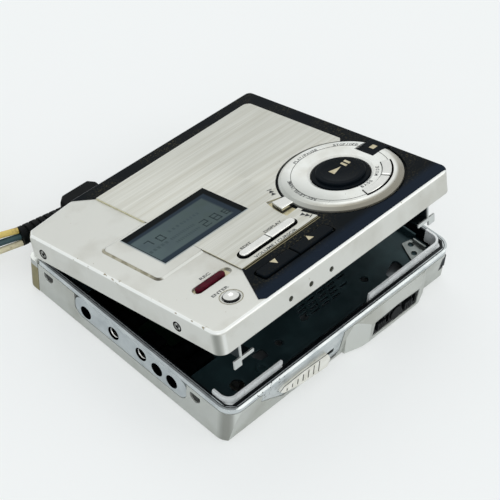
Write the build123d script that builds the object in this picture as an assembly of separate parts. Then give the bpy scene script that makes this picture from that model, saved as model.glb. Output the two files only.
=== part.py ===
"""Portable disc recorder with a hinged lid, standing half open on a table.

Millimetres. X runs along the hinge, +Y points to the hinge, +Z is up, and the
origin is the middle of the flat underside. The lid and the disc holder are
drawn shut and then swung open about the hinge line by their rest angles.
"""
from build123d import *
import math
import os

# ------------------------------------------------------------ driving sizes
WIDTH = 90.0
HALF = WIDTH / 2
FRONT_Y = -39.4  # front face of the lid
REAR_Y = 39.4  # back face of the lid and of the rear strip
RIM_Z = 13.5  # top edge of the base
RIM_FRONT_Y = -40.9  # the front wall leans out to here at its top
FOOT_FRONT_Y = -39.5  # and stands here on the table
LID_Z = 13.8  # lower edge of the shut lid
SILVER_Z = 21.0  # painted left part of the lid
PLATE_Z = 21.3  # brushed plate of the lid
BLACK_Z = 21.2  # black panel of the lid
BED_Z = 20.6  # shelf that plate and panel are glued to
ROOF_Z = 19.9  # inside of the lid's top wall
COVER_T = 0.8  # metal skin of the base
FRAME_T = 0.9  # plastic frame inside the skin
LID_T = 1.0  # side walls of the lid
HINGE_Y, HINGE_Z = 34.8, 13.05
LID_REST = 14.5  # degrees open as it stands
HOLDER_SHARE = 0.75  # the disc holder opens by this share of the lid's angle
SEAM_Z = 11.9  # line between the metal skin and the rim
SEAM_GAP, SEAM_DEPTH = 0.3, 0.4  # the groove that marks this line
LIP_Y, LIP_STEP_Y = -38.2, -39.15  # front of the guide lips and of the step at their foot
LIP_STEP_Z = (12.2, 12.85)
DECK_Z = 10.0  # top of the mechanism's steel deck
DECK_T = 0.6
SPINDLE_Y = -3.2
LENS_Y = 11.3  # lens at the inner track of the disc
DIAL = (24.8, -17.0)
DIAL_R, DIAL_HOLE = 17.5, 8.5
DIAL_POCKET = 18.3
PLAY_TOP_R = 7.0
KEY_TRAVEL = 0.4
WIRE_R = 0.95
COIL_AT = (-49.0, 82.0)
COIL_R, COIL_EYE, COIL_H = 16.9, 5.2, 11.5
RELIEF_END = (-39.6, 49.2, 7.9)

# ------------------------------------------------------------ small helpers


def block(x, y, z):
    """A box between two x, two y and two z values."""
    size = [b - a for a, b in (x, y, z)]
    return Pos((x[0] + x[1]) / 2, (y[0] + y[1]) / 2, (z[0] + z[1]) / 2) * Box(*size)


def disc(at, z, r):
    return Pos(at[0], at[1], (z[0] + z[1]) / 2) * Cylinder(r, z[1] - z[0])


def rod_x(x, y, z, r):
    return Pos((x[0] + x[1]) / 2, y, z) * Rot(0, 90, 0) * Cylinder(r, x[1] - x[0])


def rod_y(x, y, z, r):
    return Pos(x, (y[0] + y[1]) / 2, z) * Rot(90, 0, 0) * Cylinder(r, y[1] - y[0])


def flat(points, radius=0.0):
    """A flat outline with all its corners rounded alike."""
    face = make_face(Polyline(*points, close=True))
    return fillet(face.vertices(), radius) if radius else face


def plate(points, z, radius=0.0):
    """An outline in plan, standing between two heights."""
    return extrude(Pos(0, 0, z[0]) * flat(points, radius), z[1] - z[0], dir=(0, 0, 1))


def side_plate(points, x, radius=0.0):
    """An outline given as (y, z), running between two x values."""
    face = Plane.YZ.offset(x[0]) * flat(points, radius)
    return extrude(face, x[1] - x[0], dir=(1, 0, 0))


def front_plate(points, y, radius=0.0):
    """An outline given as (x, z), running between two y values."""
    face = Plane.XZ.offset(-y[0]) * flat(points, radius)
    return extrude(face, y[1] - y[0], dir=(0, 1, 0))


def rect(x, y):
    return [(x[0], y[0]), (x[1], y[0]), (x[1], y[1]), (x[0], y[1])]


def pill(x, y, z):
    """A bar in plan with fully round ends."""
    low = min(x[1] - x[0], y[1] - y[0])
    return plate(rect(x, y), z, low * 0.499)


def sector(at, r, turn, z):
    """A piece of a ring, from one angle to another in degrees."""
    outer = CenterArc(at, r[1], turn[0], turn[1] - turn[0])
    inner = CenterArc(at, r[0], turn[0], turn[1] - turn[0])
    face = make_face([outer, Line(outer @ 1, inner @ 1), inner, Line(inner @ 0, outer @ 0)])
    return extrude(Pos(0, 0, z[0]) * face, z[1] - z[0], dir=(0, 0, 1))


def rings(start, step, count, r, wire):
    """A closely wound spring: rings that touch, one step apart along X."""
    spring = None
    for turn in range(count):
        ring = Pos(start[0] + step * turn, start[1], start[2]) * Rot(0, 90, 0) * Torus(r, wire)
        spring = ring if spring is None else spring + ring
    return spring


def top_edges(solid, z, r):
    """Round the outer edges that lie at one height."""
    edges = [e for e in solid.edges() if abs(e.center().Z - z) < 0.01]
    return fillet(edges, r)


def swing(shape, angle):
    """Open a shut part about the hinge line."""
    return shape.rotate(Axis((0, HINGE_Y, HINGE_Z), (1, 0, 0)), -angle)


def with_lid(shape):
    return swing(shape, LID_REST)


def with_holder(shape):
    return swing(shape, LID_REST * HOLDER_SHARE)


# ------------------------------------------------------------ base outlines
STRIP_Y = 34.7  # the rear strip starts here
REAR_TOP = 11.5
LOW_Y = 33.9  # behind this line the walls are cut down for the lid
BULGE = [(0.6, -38.0), (0.6, -40.4), (8.4, -42.6), (29.4, -42.6), (34.6, -40.4), (34.6, -38.0)]
BULGE_SIDE = [(-38.0, 0.0), (-41.4, 0.0), (-42.6, 1.6), (-42.6, 8.8), (-40.9, 12.6), (-38.0, 12.6)]
FRONT_CORNER, REAR_CORNER = 4.5, 2.5


def base_block(inset, z):
    """The base's full form, shrunk by an inset, between two heights."""
    x, back = HALF - inset, REAR_Y - inset
    face = flat(rect((-x, x), (RIM_FRONT_Y + inset, back)))
    front = [v for v in face.vertices() if v.Y < 0]
    face = fillet(front, FRONT_CORNER - inset)
    rear = [v for v in face.vertices() if v.Y > back - 0.01]
    face = fillet(rear, REAR_CORNER - inset)
    form = extrude(Pos(0, 0, z[0]) * face, z[1] - z[0], dir=(0, 0, 1))
    lean = [
        (FOOT_FRONT_Y + inset, 0.0),
        (back, 0.0),
        (back, REAR_TOP),
        (LOW_Y, REAR_TOP),
        (LOW_Y, RIM_Z),
        (RIM_FRONT_Y + inset + 0.5, RIM_Z),
        (RIM_FRONT_Y + inset, RIM_Z - 0.6),
        (RIM_FRONT_Y + inset, RIM_Z - 2.5),
    ]
    return form & side_plate(lean, (-HALF, HALF))


def bulge(inset):
    """The swelling of the front wall that carries the two small switches."""
    plan = offset(flat(BULGE), -inset) if inset else flat(BULGE)
    form = extrude(plan, RIM_Z, dir=(0, 0, 1))
    side = Plane.YZ * flat(BULGE_SIDE)
    side = offset(side, -inset) if inset else side
    return form & extrude(side, HALF, dir=(1, 0, 0))


# the scooped apron of the front wall, in which the release slider runs (x, z)
APRON = [(-33.0, 12.4), (-33.0, 8.6), (-29.5, 6.6), (-23.5, 2.7), (-2.6, 1.9), (-1.2, 3.2), (-1.2, 12.4)]
SLIDER = [(-26.4, 7.3), (-24.9, 8.4), (-17.9, 8.7), (-7.9, 8.1), (-6.6, 5.5), (-7.5, 2.8), (-17.3, 3.8), (-24.7, 6.0)]
SLIDER_TRAVEL = 3.5
INSERT = [(9.6, 3.0), (28.4, 2.6), (29.0, 7.9), (19.5, 8.6), (10.2, 8.0)]
JACKS = {  # y and z of the socket holes in the left wall
    "dc_jack": (14.8, 7.2),
    "remote_jack": (3.6, 8.0),
    "optical_jack": (-7.3, 8.6),
    "mic_jack": (-13.5, 7.7),
    "phones_jack": (-19.2, 7.7),
}
JACK_HOLE = 2.1
PANEL_Y, PANEL_Z = (-24.8, 19.2), (4.6, 11.6)
MOONS = (30.2, -28.1)
MOON_Z = 9.5
BOTTOM_SCREWS = [(-39.5, -34.0), (-39.5, 29.5), (39.5, 29.5), (39.5, -14.0)]
DOOR_Y, DOOR_Z = (-35.7, -18.3), (1.5, 8.3)
DOOR_AXIS = (44.2, 2.3)
EYELET = ((40.9, 45.2), (-41.2, -37.8), (4.8, 10.4))
EYELET_WINDOW = ((41.7, 46.0), (-42.0, -38.6), (5.7, 9.6))
SOCKET_X, SOCKET_Z = (-22.3, -12.2), (5.0, 10.3)


def grown(points, by, y):
    face = Plane.XZ.offset(-y[0]) * offset(flat(points), by)
    return extrude(face, y[1] - y[0], dir=(0, 1, 0))


def moon(y, x):
    """A screw recess in the side wall: flat on top, round below."""
    full = rod_x(x, y, MOON_Z, 1.9)
    return full & block((x[0] - 1, x[1] + 1), (y - 3, y + 3), (MOON_Z - 3, MOON_Z + 0.8))


def base_form(inset, z):
    """The base with the swelling of its front wall, between two heights."""
    return base_block(inset, z) + (bulge(inset) & block((0, HALF), (-44, -37), z))


def make_bottom_cover():
    """The satin metal skin: floor, side walls and front wall."""
    skin = base_form(0, (0, SEAM_Z))
    floor = [e for e in skin.edges() if e.center().Z < 0.01]
    skin = chamfer(floor, 0.8)
    skin -= base_block(COVER_T, (COVER_T, RIM_Z))
    skin -= bulge(COVER_T) & block((0, HALF), (-44, -37), (COVER_T, RIM_Z))
    seam = (SEAM_Z - SEAM_GAP, SEAM_Z)
    skin -= base_form(0, seam) - base_form(SEAM_DEPTH, seam)
    skin -= block((-50, 50), (STRIP_Y - 0.1, 50), (-1, 20))
    skin -= side_plate(rect((PANEL_Y[0] - 0.1, PANEL_Y[1] + 0.1), (PANEL_Z[0] - 0.1, 20)), (-46, -43), 3.0)
    skin -= grown(APRON, 0.1, (-44, -38.5))
    skin -= grown(INSERT, 0.1, (-44, -38.5))
    skin -= block((43, 46), (DOOR_Y[0] - 0.2, DOOR_Y[1] + 0.2), (DOOR_Z[0] - 0.4, DOOR_Z[1] + 0.2))
    skin -= block(*EYELET)
    for y in MOONS:
        skin -= moon(y, (-46, -43))
    for x, y in BOTTOM_SCREWS:
        skin -= disc((x, y), (-1, 1), 1.55)
    return skin


def make_rim_frame():
    """Bright plastic frame: the visible rim, the apron, and a wall inside the skin."""
    rim = base_block(0, (SEAM_Z, RIM_Z)) - base_block(COVER_T + FRAME_T, (0, 20))
    wall = base_block(COVER_T + 0.05, (COVER_T + 0.1, SEAM_Z + 0.5)) - base_block(COVER_T + FRAME_T, (0, 20))
    wall -= block((0.4, 34.8), (-45, -37.4), (0, SEAM_Z - 0.9))
    apron = front_plate(APRON, (-44, -38.0)) & (base_block(0.15, (0, RIM_Z)) - base_block(COVER_T + 0.1, (0, RIM_Z)))
    frame = rim + wall + apron
    frame -= block((-50, 50), (STRIP_Y - 0.1, 50), (-1, 20))
    frame -= block((-50, 50), (LOW_Y, 50), (REAR_TOP, 20))
    frame -= block((-46, -42), (PANEL_Y[0] + 0.6, PANEL_Y[1] - 0.6), (PANEL_Z[0] + 0.3, PANEL_Z[1] - 0.3))
    frame -= side_plate(rect((PANEL_Y[0] - 0.1, PANEL_Y[1] + 0.1), (PANEL_Z[0] - 0.1, SEAM_Z)), (-46, -43.9), 0.4)
    frame -= block((-23.5, -4.0), (-45, -37.0), (5.1, 6.7))
    frame -= grown(SLIDER, 0.25, (-45, -40.1))
    frame -= Pos(SLIDER_TRAVEL, 0, 0) * grown(SLIDER, 0.25, (-45, -40.1))
    frame -= block((42, 46), (DOOR_Y[0] - 0.4, DOOR_Y[1] + 0.4), (DOOR_Z[0] - 0.6, DOOR_Z[1] + 0.3))
    frame -= block(*EYELET)
    for x, y in BOTTOM_SCREWS:
        side = -43.5 if x < 0 else 43.5
        frame += disc((x, y), (2.1, 9.2), 1.8)
        frame += block((min(x, side), max(x, side)), (y - 0.5, y + 0.5), (3.0, 9.0)) - disc((x, y), (0, 12), 1.5)
        frame -= disc((x, y), (0, 5), 0.7)
    for y in MOONS:
        frame -= rod_x((-46, -42), y, MOON_Z - 0.5, 0.5)
    return frame


def make_guide_lips():
    """Two upstanding bright lips that enter the lid, with a step down to the rim."""
    bands = []
    for front, z in ((LIP_Y, (10.45, 14.9)), (LIP_STEP_Y, LIP_STEP_Z)):
        face = flat(rect((-43.25, 43.25), (front, 30)))
        face = fillet([v for v in face.vertices() if v.Y < 0], 3.2)
        bands.append(extrude(Pos(0, 0, z[0]) * face, z[1] - z[0], dir=(0, 0, 1)))
    inner = flat(rect((-42.55, 42.55), (LIP_Y + 0.7, 31)))
    inner = fillet([v for v in inner.vertices() if v.Y < 0], 2.5)
    band = bands[0] + bands[1] - extrude(Pos(0, 0, 9) * inner, 8, dir=(0, 0, 1))
    left = band & block((-45, -23.0), (-40, -32.4), (9, 16))
    right = band & block((11.6, 45), (-40, -32.4), (9, 16))
    for x in (-31.0, -25.0):
        left += block((x, x + 2.5), (LIP_Y, -35.6), (DECK_Z, 10.5))
    for x in (14.0, 29.0):
        right += block((x, x + 2.5), (LIP_Y, -35.9), (DECK_Z, 10.5))
    return Compound(children=[left, right])


def make_rear_panel():
    """Closes the back of the base; its barrel fills the gap under the hinge."""
    panel = base_block(0, (0, REAR_TOP)) & block((-50, 50), (STRIP_Y + 0.1, 50), (-1, 20))
    panel = chamfer([e for e in panel.edges() if e.center().Z < 0.01 and e.center().Y > 36], 0.6)
    panel -= block((-43.6, 43.6), (30, 38.2), (1.0, REAR_TOP - 1.0))
    barrel = rod_x((-31, 31), HINGE_Y, HINGE_Z, 3.35)
    barrel &= block((-32, 32), (30, STRIP_Y + 5), (REAR_TOP - 0.5, 20))
    panel += barrel
    for x in ((-43.2, -39.9), (39.9, 43.2)):
        panel -= block(x, (30, 37.4), (9, 20))
    panel -= block(SOCKET_X, (37, 41), SOCKET_Z)
    return panel


def make_dock_socket():
    """The connector behind the rear opening."""
    body = block((-23.6, -10.9), (35.2, 38.1), (4.0, 10.4))
    return body - block((SOCKET_X[0] + 0.2, SOCKET_X[1] - 0.2), (36.2, 39), (SOCKET_Z[0] + 0.2, SOCKET_Z[1] - 0.4))


def make_jack_panel():
    """Bluish plate set into the left wall, with the five socket holes."""
    panel = side_plate(rect(PANEL_Y, PANEL_Z), (-44.85, -44.0), 3.0)
    for y, z in JACKS.values():
        panel -= rod_x((-46, -43), y, z, JACK_HOLE)
    return panel


def make_jack(y, z):
    """A 3.5 mm socket: square front, round barrel, open bore."""
    low = 6 if z < 8.5 else 3
    body = block((-43.9, -38.2), (y - 2.8, y + 2.8), (max(z - 2.8, 5.0), z + 2.7))
    if low == 6:
        body += rod_x((-38.4, -31.6), y, z, 2.5)
    return body - rod_x((-45, -33.0 if low == 6 else -39.4), y, z, 1.8)


def make_strap_eyelet():
    """A pocket at the front right corner with an upright pin for a strap."""
    cup = block(*EYELET) & base_block(0.05, (0, RIM_Z))
    cup -= block(*EYELET_WINDOW)
    return cup + disc((43.2, -39.6), EYELET_WINDOW[2], 0.65)


def make_switch_bezel():
    """Black insert of the bulge with two slots for its switches."""
    plate_ = front_plate(INSERT, (-42.35, -41.4), 0.5)
    plate_ += Pos(19.4, -42.2, 5.2) * Rot(90, 0, 0) * Cylinder(2.3, 0.9)
    for x in ((10.9, 16.3), (22.4, 27.8)):
        plate_ -= block(x, (-44, -40), (4.0, 7.2))
    return plate_


def make_switch(x):
    """A small slide switch: ridged cap, neck and foot."""
    cap = block((x, x + 3.2), (-43.0, -41.9), (4.2, 7.0))
    for rib in range(3):
        cap -= block((x + 0.65 + rib * 0.8, x + 0.95 + rib * 0.8), (-43.1, -42.75), (4, 7.2))
    neck = block((x + 0.8, x + 2.4), (-41.95, -40.6), (4.6, 6.6))
    return cap + neck


def make_open_slider():
    """The release slider: a wedge that widens to the right, with seven ridges."""
    knob = front_plate(SLIDER, (-41.3, -40.2), 0.4)
    for rib in range(7):
        x = -24.0 + rib * 2.1
        reach = 0.55 + rib * 0.28
        knob -= block((x, x + 0.45), (-41.4, -41.05), (6.6 - rib * 0.12 - reach, 6.6 - rib * 0.12 + reach))
    return knob + block((-16.0, -11.5), (-40.3, -37.25), (5.3, 6.5))


def make_latch_slide():
    """The steel strip that the release slider carries behind the wall."""
    bar = block((-20.0, 6.0), (-37.25, -36.55), (5.0, 8.6))
    bar -= block((-9.0, -4.0), (-38, -36), (6.8, 9))
    return bar + block((4.4, 6.0), (-37.25, -36.55), (4.4, 5.1))


def make_chassis():
    """Pressed steel deck of the mechanism, with its hinge ears and side rails."""
    left, right = -42.4, 42.4
    deck = plate(rect((left, right), (-36.5, 30.5)), (DECK_Z - DECK_T, DECK_Z), 1.0)
    deck -= block((-46, -31.3), (-22.6, 18.4), (0, 20))
    deck -= disc((0, SPINDLE_Y), (0, 20), 7.0)
    deck -= block((-8.6, 8.6), (6.6, 40), (0, 20))
    for x, y, r in ((-15.8, -30.3, 1.2), (18.8, -30.5, 1.2), (-4.1, -28.7, 1.2), (-34.4, -33.1, 2.1)):
        deck -= disc((x, y), (0, 20), r)
    deck -= plate([(-25.0, -28.0), (-20.5, -28.6), (-20.9, -31.6), (-24.0, -31.4)], (0, 20), 0.8)
    deck -= plate([(31.0, -31.0), (24.0, -33.6), (25.4, -35.8), (31.0, -34.6)], (0, 20), 1.0)
    for row in range(6):
        for slot in range(4 + row % 2):
            x, y = -5.6 + slot * 4.1 + row * 0.7, -29.6 + row * 1.35
            deck -= block((x, x + 3.0), (y, y + 0.7), (0, 20))
    deck += disc((-25.6, -33.6), (DECK_Z, DECK_Z + 0.5), 1.7) - disc((-25.6, -33.6), (0, 20), 0.9)
    deck += block((-31.3, -30.7), (-22.6, 18.4), (8.0, DECK_Z))
    deck += block((41.2, 41.8), (-30.0, 20.0), (DECK_Z - 0.1, 12.0))
    for x, y in BOTTOM_SCREWS:
        deck -= disc((x, y), (0, 9.95), 2.0)
    for side in (-1, 1):
        ear = side_plate([(28.0, 9.5), (36.3, 9.5), (36.3, 14.4), (32.6, 14.4), (30.0, 10.6)], (40.2, 41.2))
        foot = block((38.0, 41.2), (28.0, 30.5), (DECK_Z - DECK_T, DECK_Z))
        ear += foot
        deck += ear if side > 0 else mirror(ear, about=Plane.YZ)
    return deck - rod_x((-42, 42), HINGE_Y, HINGE_Z, 0.75)


def make_corner_bracket():
    """Grey bracket screwed on the deck at the front right, with two holes."""
    shape = plate([(33.6, -35.8), (40.4, -35.8), (40.4, -29.6), (37.0, -28.8), (35.6, -31.6)], (DECK_Z, DECK_Z + 0.5), 0.5)
    shape += block((39.9, 40.4), (-35.0, -30.4), (DECK_Z, DECK_Z + 1.6))
    return shape - disc((38.6, -30.9), (0, 20), 0.9) - disc((36.6, -33.8), (0, 20), 0.9)


def make_hinge_pins():
    """Two short pins, riveted in the deck's ears, on which the lid turns."""
    return Compound(children=[rod_x(x, HINGE_Y, HINGE_Z, 0.75) for x in ((-43.0, -36.2), (36.2, 43.0))])


def make_hinge_spring():
    """Torsion spring on the left pin, with one leg on the deck."""
    coil = rings((-39.6, HINGE_Y, HINGE_Z), 0.42, 7, 1.25, 0.24)
    return coil + block((-37.4, -36.9), (30.2, HINGE_Y - 1.0), (12.0, 12.5))


def make_main_board():
    """Circuit board over the floor, cut out round the screws."""
    board = plate(rect((-42.0, 42.0), (-17.2, 33.0)), (1.2, 2.0), 1.0)
    for x, y in BOTTOM_SCREWS:
        board -= disc((x, y), (0, 5), 2.1)
    return board


def make_board_chips():
    """The chips and the tall capacitors on the main board."""
    chips = [((14, 26), (-14, -4), 1.4), ((16, 24), (1, 9), 1.2), ((-30, -20), (20, 30), 1.4)]
    chips += [((28, 36), (14, 22), 1.2), ((-29, -22), (-15, -9), 1.6), ((30, 33), (-8, -2), 2.0)]
    return Compound(children=[block(x, y, (2.0, 2.0 + h)) for x, y, h in chips])


def make_battery():
    """Flat rechargeable cell, about 67 by 17 by 6."""
    cell = block((-24.2, 41.9), (-35.4, -18.6), (1.6, 7.6))
    cell = fillet([e for e in cell.edges().filter_by(Axis.X)], 1.0)
    return cell + Pos(42.3, -27.0, 4.6) * Rot(0, 90, 0) * Cylinder(2.2, 0.8)


def make_battery_spring():
    return rings((-29.6, -27.0, 4.6), 0.62, 9, 2.0, 0.34) + block((-30.4, -29.4), (-30, -24), (2.0, 7.2))


def make_battery_door():
    """Door of the cell's bay in the right wall, hinged along its lower edge."""
    x, z = (43.4, 45.0), DOOR_Z[0]
    door = block(x, DOOR_Y, (DOOR_AXIS[1], DOOR_Z[1]))
    door = fillet([e for e in door.edges().group_by(Axis.X)[-1] if e.center().Z > DOOR_AXIS[1] + 0.1], 0.3)
    door += rod_y(DOOR_AXIS[0], DOOR_Y, DOOR_AXIS[1], DOOR_AXIS[1] - z)
    return door - block((45.0 - 0.35, 46), (-29.0, -25.0), (7.0, 7.6))


def make_spindle_motor():
    """Flat disc motor hung under the deck, with its bearing bore."""
    motor = disc((0, SPINDLE_Y), (3.0, 8.9), 8.0) + disc((0, SPINDLE_Y), (8.9, 9.6), 3.2)
    feet = block((-10.5, 10.5), (SPINDLE_Y - 2, SPINDLE_Y + 2), (8.4, DECK_Z - DECK_T))
    return motor + feet - disc((0, SPINDLE_Y), (2, 12), 0.8)


def make_turntable():
    """Hub that centres and grips the disc, on its shaft."""
    hub = disc((0, SPINDLE_Y), (10.2, 11.4), 6.2) + disc((0, SPINDLE_Y), (11.4, 12.1), 4.6)
    nose = Pos(0, SPINDLE_Y, 12.45) * Cone(2.4, 1.6, 0.7)
    hub = hub + nose - (disc((0, SPINDLE_Y), (11.9, 12.3), 4.2) - disc((0, SPINDLE_Y), (11.8, 12.4), 3.0))
    return hub + disc((0, SPINDLE_Y), (3.4, 10.3), 0.75)


ROD_X, SCREW_X = 11.2, -13.0
SLED_Z = 6.2


def make_pickup():
    """The optical block: lens turret, body, rod bushing and screw follower."""
    body = plate(rect((-7.6, 8.4), (LENS_Y - 3.4, LENS_Y + 7.0)), (4.4, 9.0), 1.0)
    body += disc((0, LENS_Y), (9.0, 10.2), 3.0) + disc((0, LENS_Y), (10.2, 10.9), 1.9)
    body += rod_y(ROD_X, (LENS_Y - 3.4, LENS_Y + 7.0), SLED_Z, 2.3) & block((8, 20), (0, 40), (3, 9))
    body += block((8.0, 11.0), (LENS_Y - 3.4, LENS_Y + 7.0), (4.6, 7.8))
    body += block((-14.6, -7.4), (LENS_Y - 1.0, LENS_Y + 3.0), (7.4, 8.6))
    return body - rod_y(ROD_X, (0, 40), SLED_Z, 1.05)


def make_lead_screw():
    """Feed screw with a coarse groove, turned by the feed motor."""
    screw = rod_y(SCREW_X, (5.7, 34.0), SLED_Z, 0.6) + rod_y(SCREW_X, (7.0, 33.0), SLED_Z, 0.95)
    for groove in range(12):
        ring = Pos(SCREW_X, 8.6 + groove * 2.1, SLED_Z) * Rot(90, 0, 0) * Torus(0.95, 0.3)
        screw -= ring
    return screw


def make_sled_motor():
    can = rod_y(SCREW_X, (-8.0, 5.2), SLED_Z, 3.0)
    return can - rod_y(SCREW_X, (2.0, 6.0), SLED_Z, 0.65)


def make_feed_shaft():
    """The screw's front end, which the motor's bore takes."""
    return rod_y(SCREW_X, (3.0, 5.8), SLED_Z, 0.6)


def make_guide_rod():
    return rod_y(ROD_X, (6.0, 34.4), SLED_Z, 1.0)


def make_latch_spring():
    return rings((8.0, -36.9, 3.4), 0.4, 24, 0.7, 0.22)


def make_base_screws():
    """Four screws of the floor and two of the left wall, in their recesses."""
    screws = []
    for x, y in BOTTOM_SCREWS:
        screws.append(disc((x, y), (0.15, COVER_T + 0.05), 1.5) + disc((x, y), (COVER_T, 4.2), 0.7))
    for y in MOONS:
        head = rod_x((-44.7, -44.15), y, MOON_Z - 0.5, 1.25)
        screws.append(head + rod_x((-44.15, -42.6), y, MOON_Z - 0.5, 0.5))
    return Compound(children=screws)


# ------------------------------------------------------------ lid
LID_PLAN = [(-45.0, 35.6), (-45.0, -39.4), (45.0, -39.4), (45.0, 39.4), (-28.0, 39.4), (-43.2, 37.7)]
SPLIT_X = -22.3  # where the painted part ends and the plate begins
PANEL_EDGE = [(SPLIT_X, -25.1), (-28.7, -37.3), (-27.2, -38.7), (46.0, -38.7), (46.0, 41.0), (-28.6, 41.0)]
PANEL_EDGE += [(-28.0, 39.8), (SPLIT_X, 33.6)]
PLATE_FRONT = [(6.8, -24.8), (5.7, -19.5), (24.8, -17.0), (39.5, -3.4)]
LCD_X, LCD_Y = (-32.5, -1.5), (-6.8, 11.6)
PLATFORM_X, PLATFORM_Y = (-37.8, SPLIT_X + 0.3), (-10.2, 12.4)
VOLUME_Y = (-33.0, -29.1)
VOLUME_DOWN_X, VOLUME_UP_X = (-21.6, -9.2), (-8.8, 4.4)
EDIT_Y = (-22.3, -19.7)
EDIT_X, DISPLAY_X = (-18.6, -8.5), (-8.2, 1.4)
STOP_X, STOP_Y = (36.3, 43.2), (-18.8, -12.2)
ARC_R = (11.6, 14.2)
BASS_TURN, MODE_TURN = (-107.0, -66.0), (-64.0, -31.0)
LEVER_R = (18.0, 22.2)
LEVER_TURN = (164.5, 176.5)
LEVER_TRAVEL = 5.5
REC_X, REC_Y = (-35.7, -25.7), (-22.9, -20.7)
REC_TRAVEL = 1.8
ENTER = (-32.0, -30.9)
HEAD_Y = 28.5
SIDE_SCREWS = ((31.0, 16.4), (-23.7, 16.6))
FRONT_SCREWS = ((-19.7, 16.4), (-12.1, 16.4), (-4.4, 16.4))


def lid_plan(inset):
    face = flat(LID_PLAN)
    face = fillet([v for v in face.vertices() if v.Y < 0], 3.0)
    face = fillet([v for v in face.vertices() if v.X > 44 and v.Y > 39], 2.0)
    return offset(face, -inset) if inset else face


def lid_block(inset, z):
    return extrude(Pos(0, 0, z[0]) * lid_plan(inset), z[1] - z[0], dir=(0, 0, 1))


def plate_outline():
    """The brushed plate in plan."""
    return [(SPLIT_X + 0.1, -25.0), *PLATE_FRONT, (39.5, 34.6), (SPLIT_X + 0.1, 33.6)]


def make_lid_shell():
    """The lid's body: walls, painted left part, and the shelf for plate and panel."""
    shell = top_edges(lid_block(0, (LID_Z, SILVER_Z)), SILVER_Z, 1.0)
    shell -= lid_block(LID_T, (0, ROOF_Z))
    shell -= plate(PANEL_EDGE, (BED_Z, 30))
    shell += plate(rect(PLATFORM_X, PLATFORM_Y), (BED_Z - 0.1, PLATE_Z), 1.4) - block((SPLIT_X, 0), (-20, 20), (0, 30))
    shell -= side_plate([(36.8, LID_Z), (39.5, 15.6), (42, 15.6), (42, 12), (36.8, 12)], (-46, 46))
    shell -= block(LCD_X, LCD_Y, (BED_Z, 30))
    shell -= block((LCD_X[0] + 1, LCD_X[1] - 1), (LCD_Y[0] + 1, LCD_Y[1] - 1), (0, 30))
    shell -= disc(DIAL, (20.2, 30), DIAL_POCKET + 0.8)
    shell -= pill((REC_X[0] - 0.9, REC_X[1] + 2.2), (REC_Y[0] - 0.5, REC_Y[1] + 0.5), (20.2, 30))
    shell -= block((-33.0, -25.5), (-22.2, -21.4), (0, 30))
    shell -= disc(ENTER, (20.2, 30), 2.9) + disc(ENTER, (0, 30), 1.1)
    for x, y in ((EDIT_X, EDIT_Y), (DISPLAY_X, EDIT_Y), (VOLUME_DOWN_X, VOLUME_Y), (VOLUME_UP_X, VOLUME_Y)):
        shell -= block((x[0] - 0.2, x[1] + 0.2), (y[0] - 0.2, y[1] + 0.2), (20.3, 30))
    for at in stems().values():
        shell -= disc(at, (0, 30), 1.1)
    for side in (-1, 1):
        ear = rod_x((41.6, 42.9), HINGE_Y, HINGE_Z, 2.2)
        ear += block((41.6, 44.2), (32.7, 36.6), (LID_Z + 0.2, 16.4)) - rod_x((41, 45), HINGE_Y, HINGE_Z, 0.9)
        shell += ear if side > 0 else mirror(ear, about=Plane.YZ)
    shell -= rod_x((-43.6, 43.6), HINGE_Y, HINGE_Z, 0.8)
    for y, z in SIDE_SCREWS:
        shell -= rod_x((-46, -44.5), y, z, 1.3) + rod_x((-46, -43), y, z, 0.55)
    for x, z in FRONT_SCREWS:
        shell -= rod_y(x, (-40, -39.0), z, 0.8) + rod_y(x, (-40, -38), z, 0.4)
    return shell


def stems():
    """Where each key's stem passes through the lid's top wall."""
    middle = [(a + b) / 2 for a, b in (EDIT_X, DISPLAY_X, VOLUME_DOWN_X, VOLUME_UP_X, STOP_X)]
    arc = sum(ARC_R) / 2
    turn = [math.radians(sum(t) / 2) for t in (BASS_TURN, MODE_TURN)]
    return {
        "edit": (middle[0], sum(EDIT_Y) / 2),
        "display": (middle[1], sum(EDIT_Y) / 2),
        "volume_down": (middle[2], sum(VOLUME_Y) / 2),
        "volume_up": (middle[3], sum(VOLUME_Y) / 2),
        "stop": (middle[4] - 1.5, sum(STOP_Y) / 2),
        "play": DIAL,
        "bass": (DIAL[0] + arc * math.cos(turn[0]), DIAL[1] + arc * math.sin(turn[0])),
        "mode": (DIAL[0] + arc * math.cos(turn[1]), DIAL[1] + arc * math.sin(turn[1])),
        "enter": ENTER,
    }


def stem(name):
    return disc(stems()[name], (19.75, 21.0), 0.9)


def make_brushed_plate():
    """Brushed aluminium plate of the lid's top."""
    sheet = plate(plate_outline(), (BED_Z, PLATE_Z))
    sheet = fillet([e for e in sheet.edges().filter_by(Axis.Z) if e.center().Y > 34 and e.center().X > 30], 2.0)
    sheet -= disc(DIAL, (0, 30), DIAL_POCKET)
    sheet -= block(LCD_X, LCD_Y, (0, 30))
    sheet -= pill((EDIT_X[0] - 0.2, DISPLAY_X[1] + 0.2), (EDIT_Y[0] - 0.2, EDIT_Y[1] + 0.2), (0, 30))
    sheet -= sector(DIAL, (16.0, 22.9), (158.6, 182.6), (0, 30))
    return sheet


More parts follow.
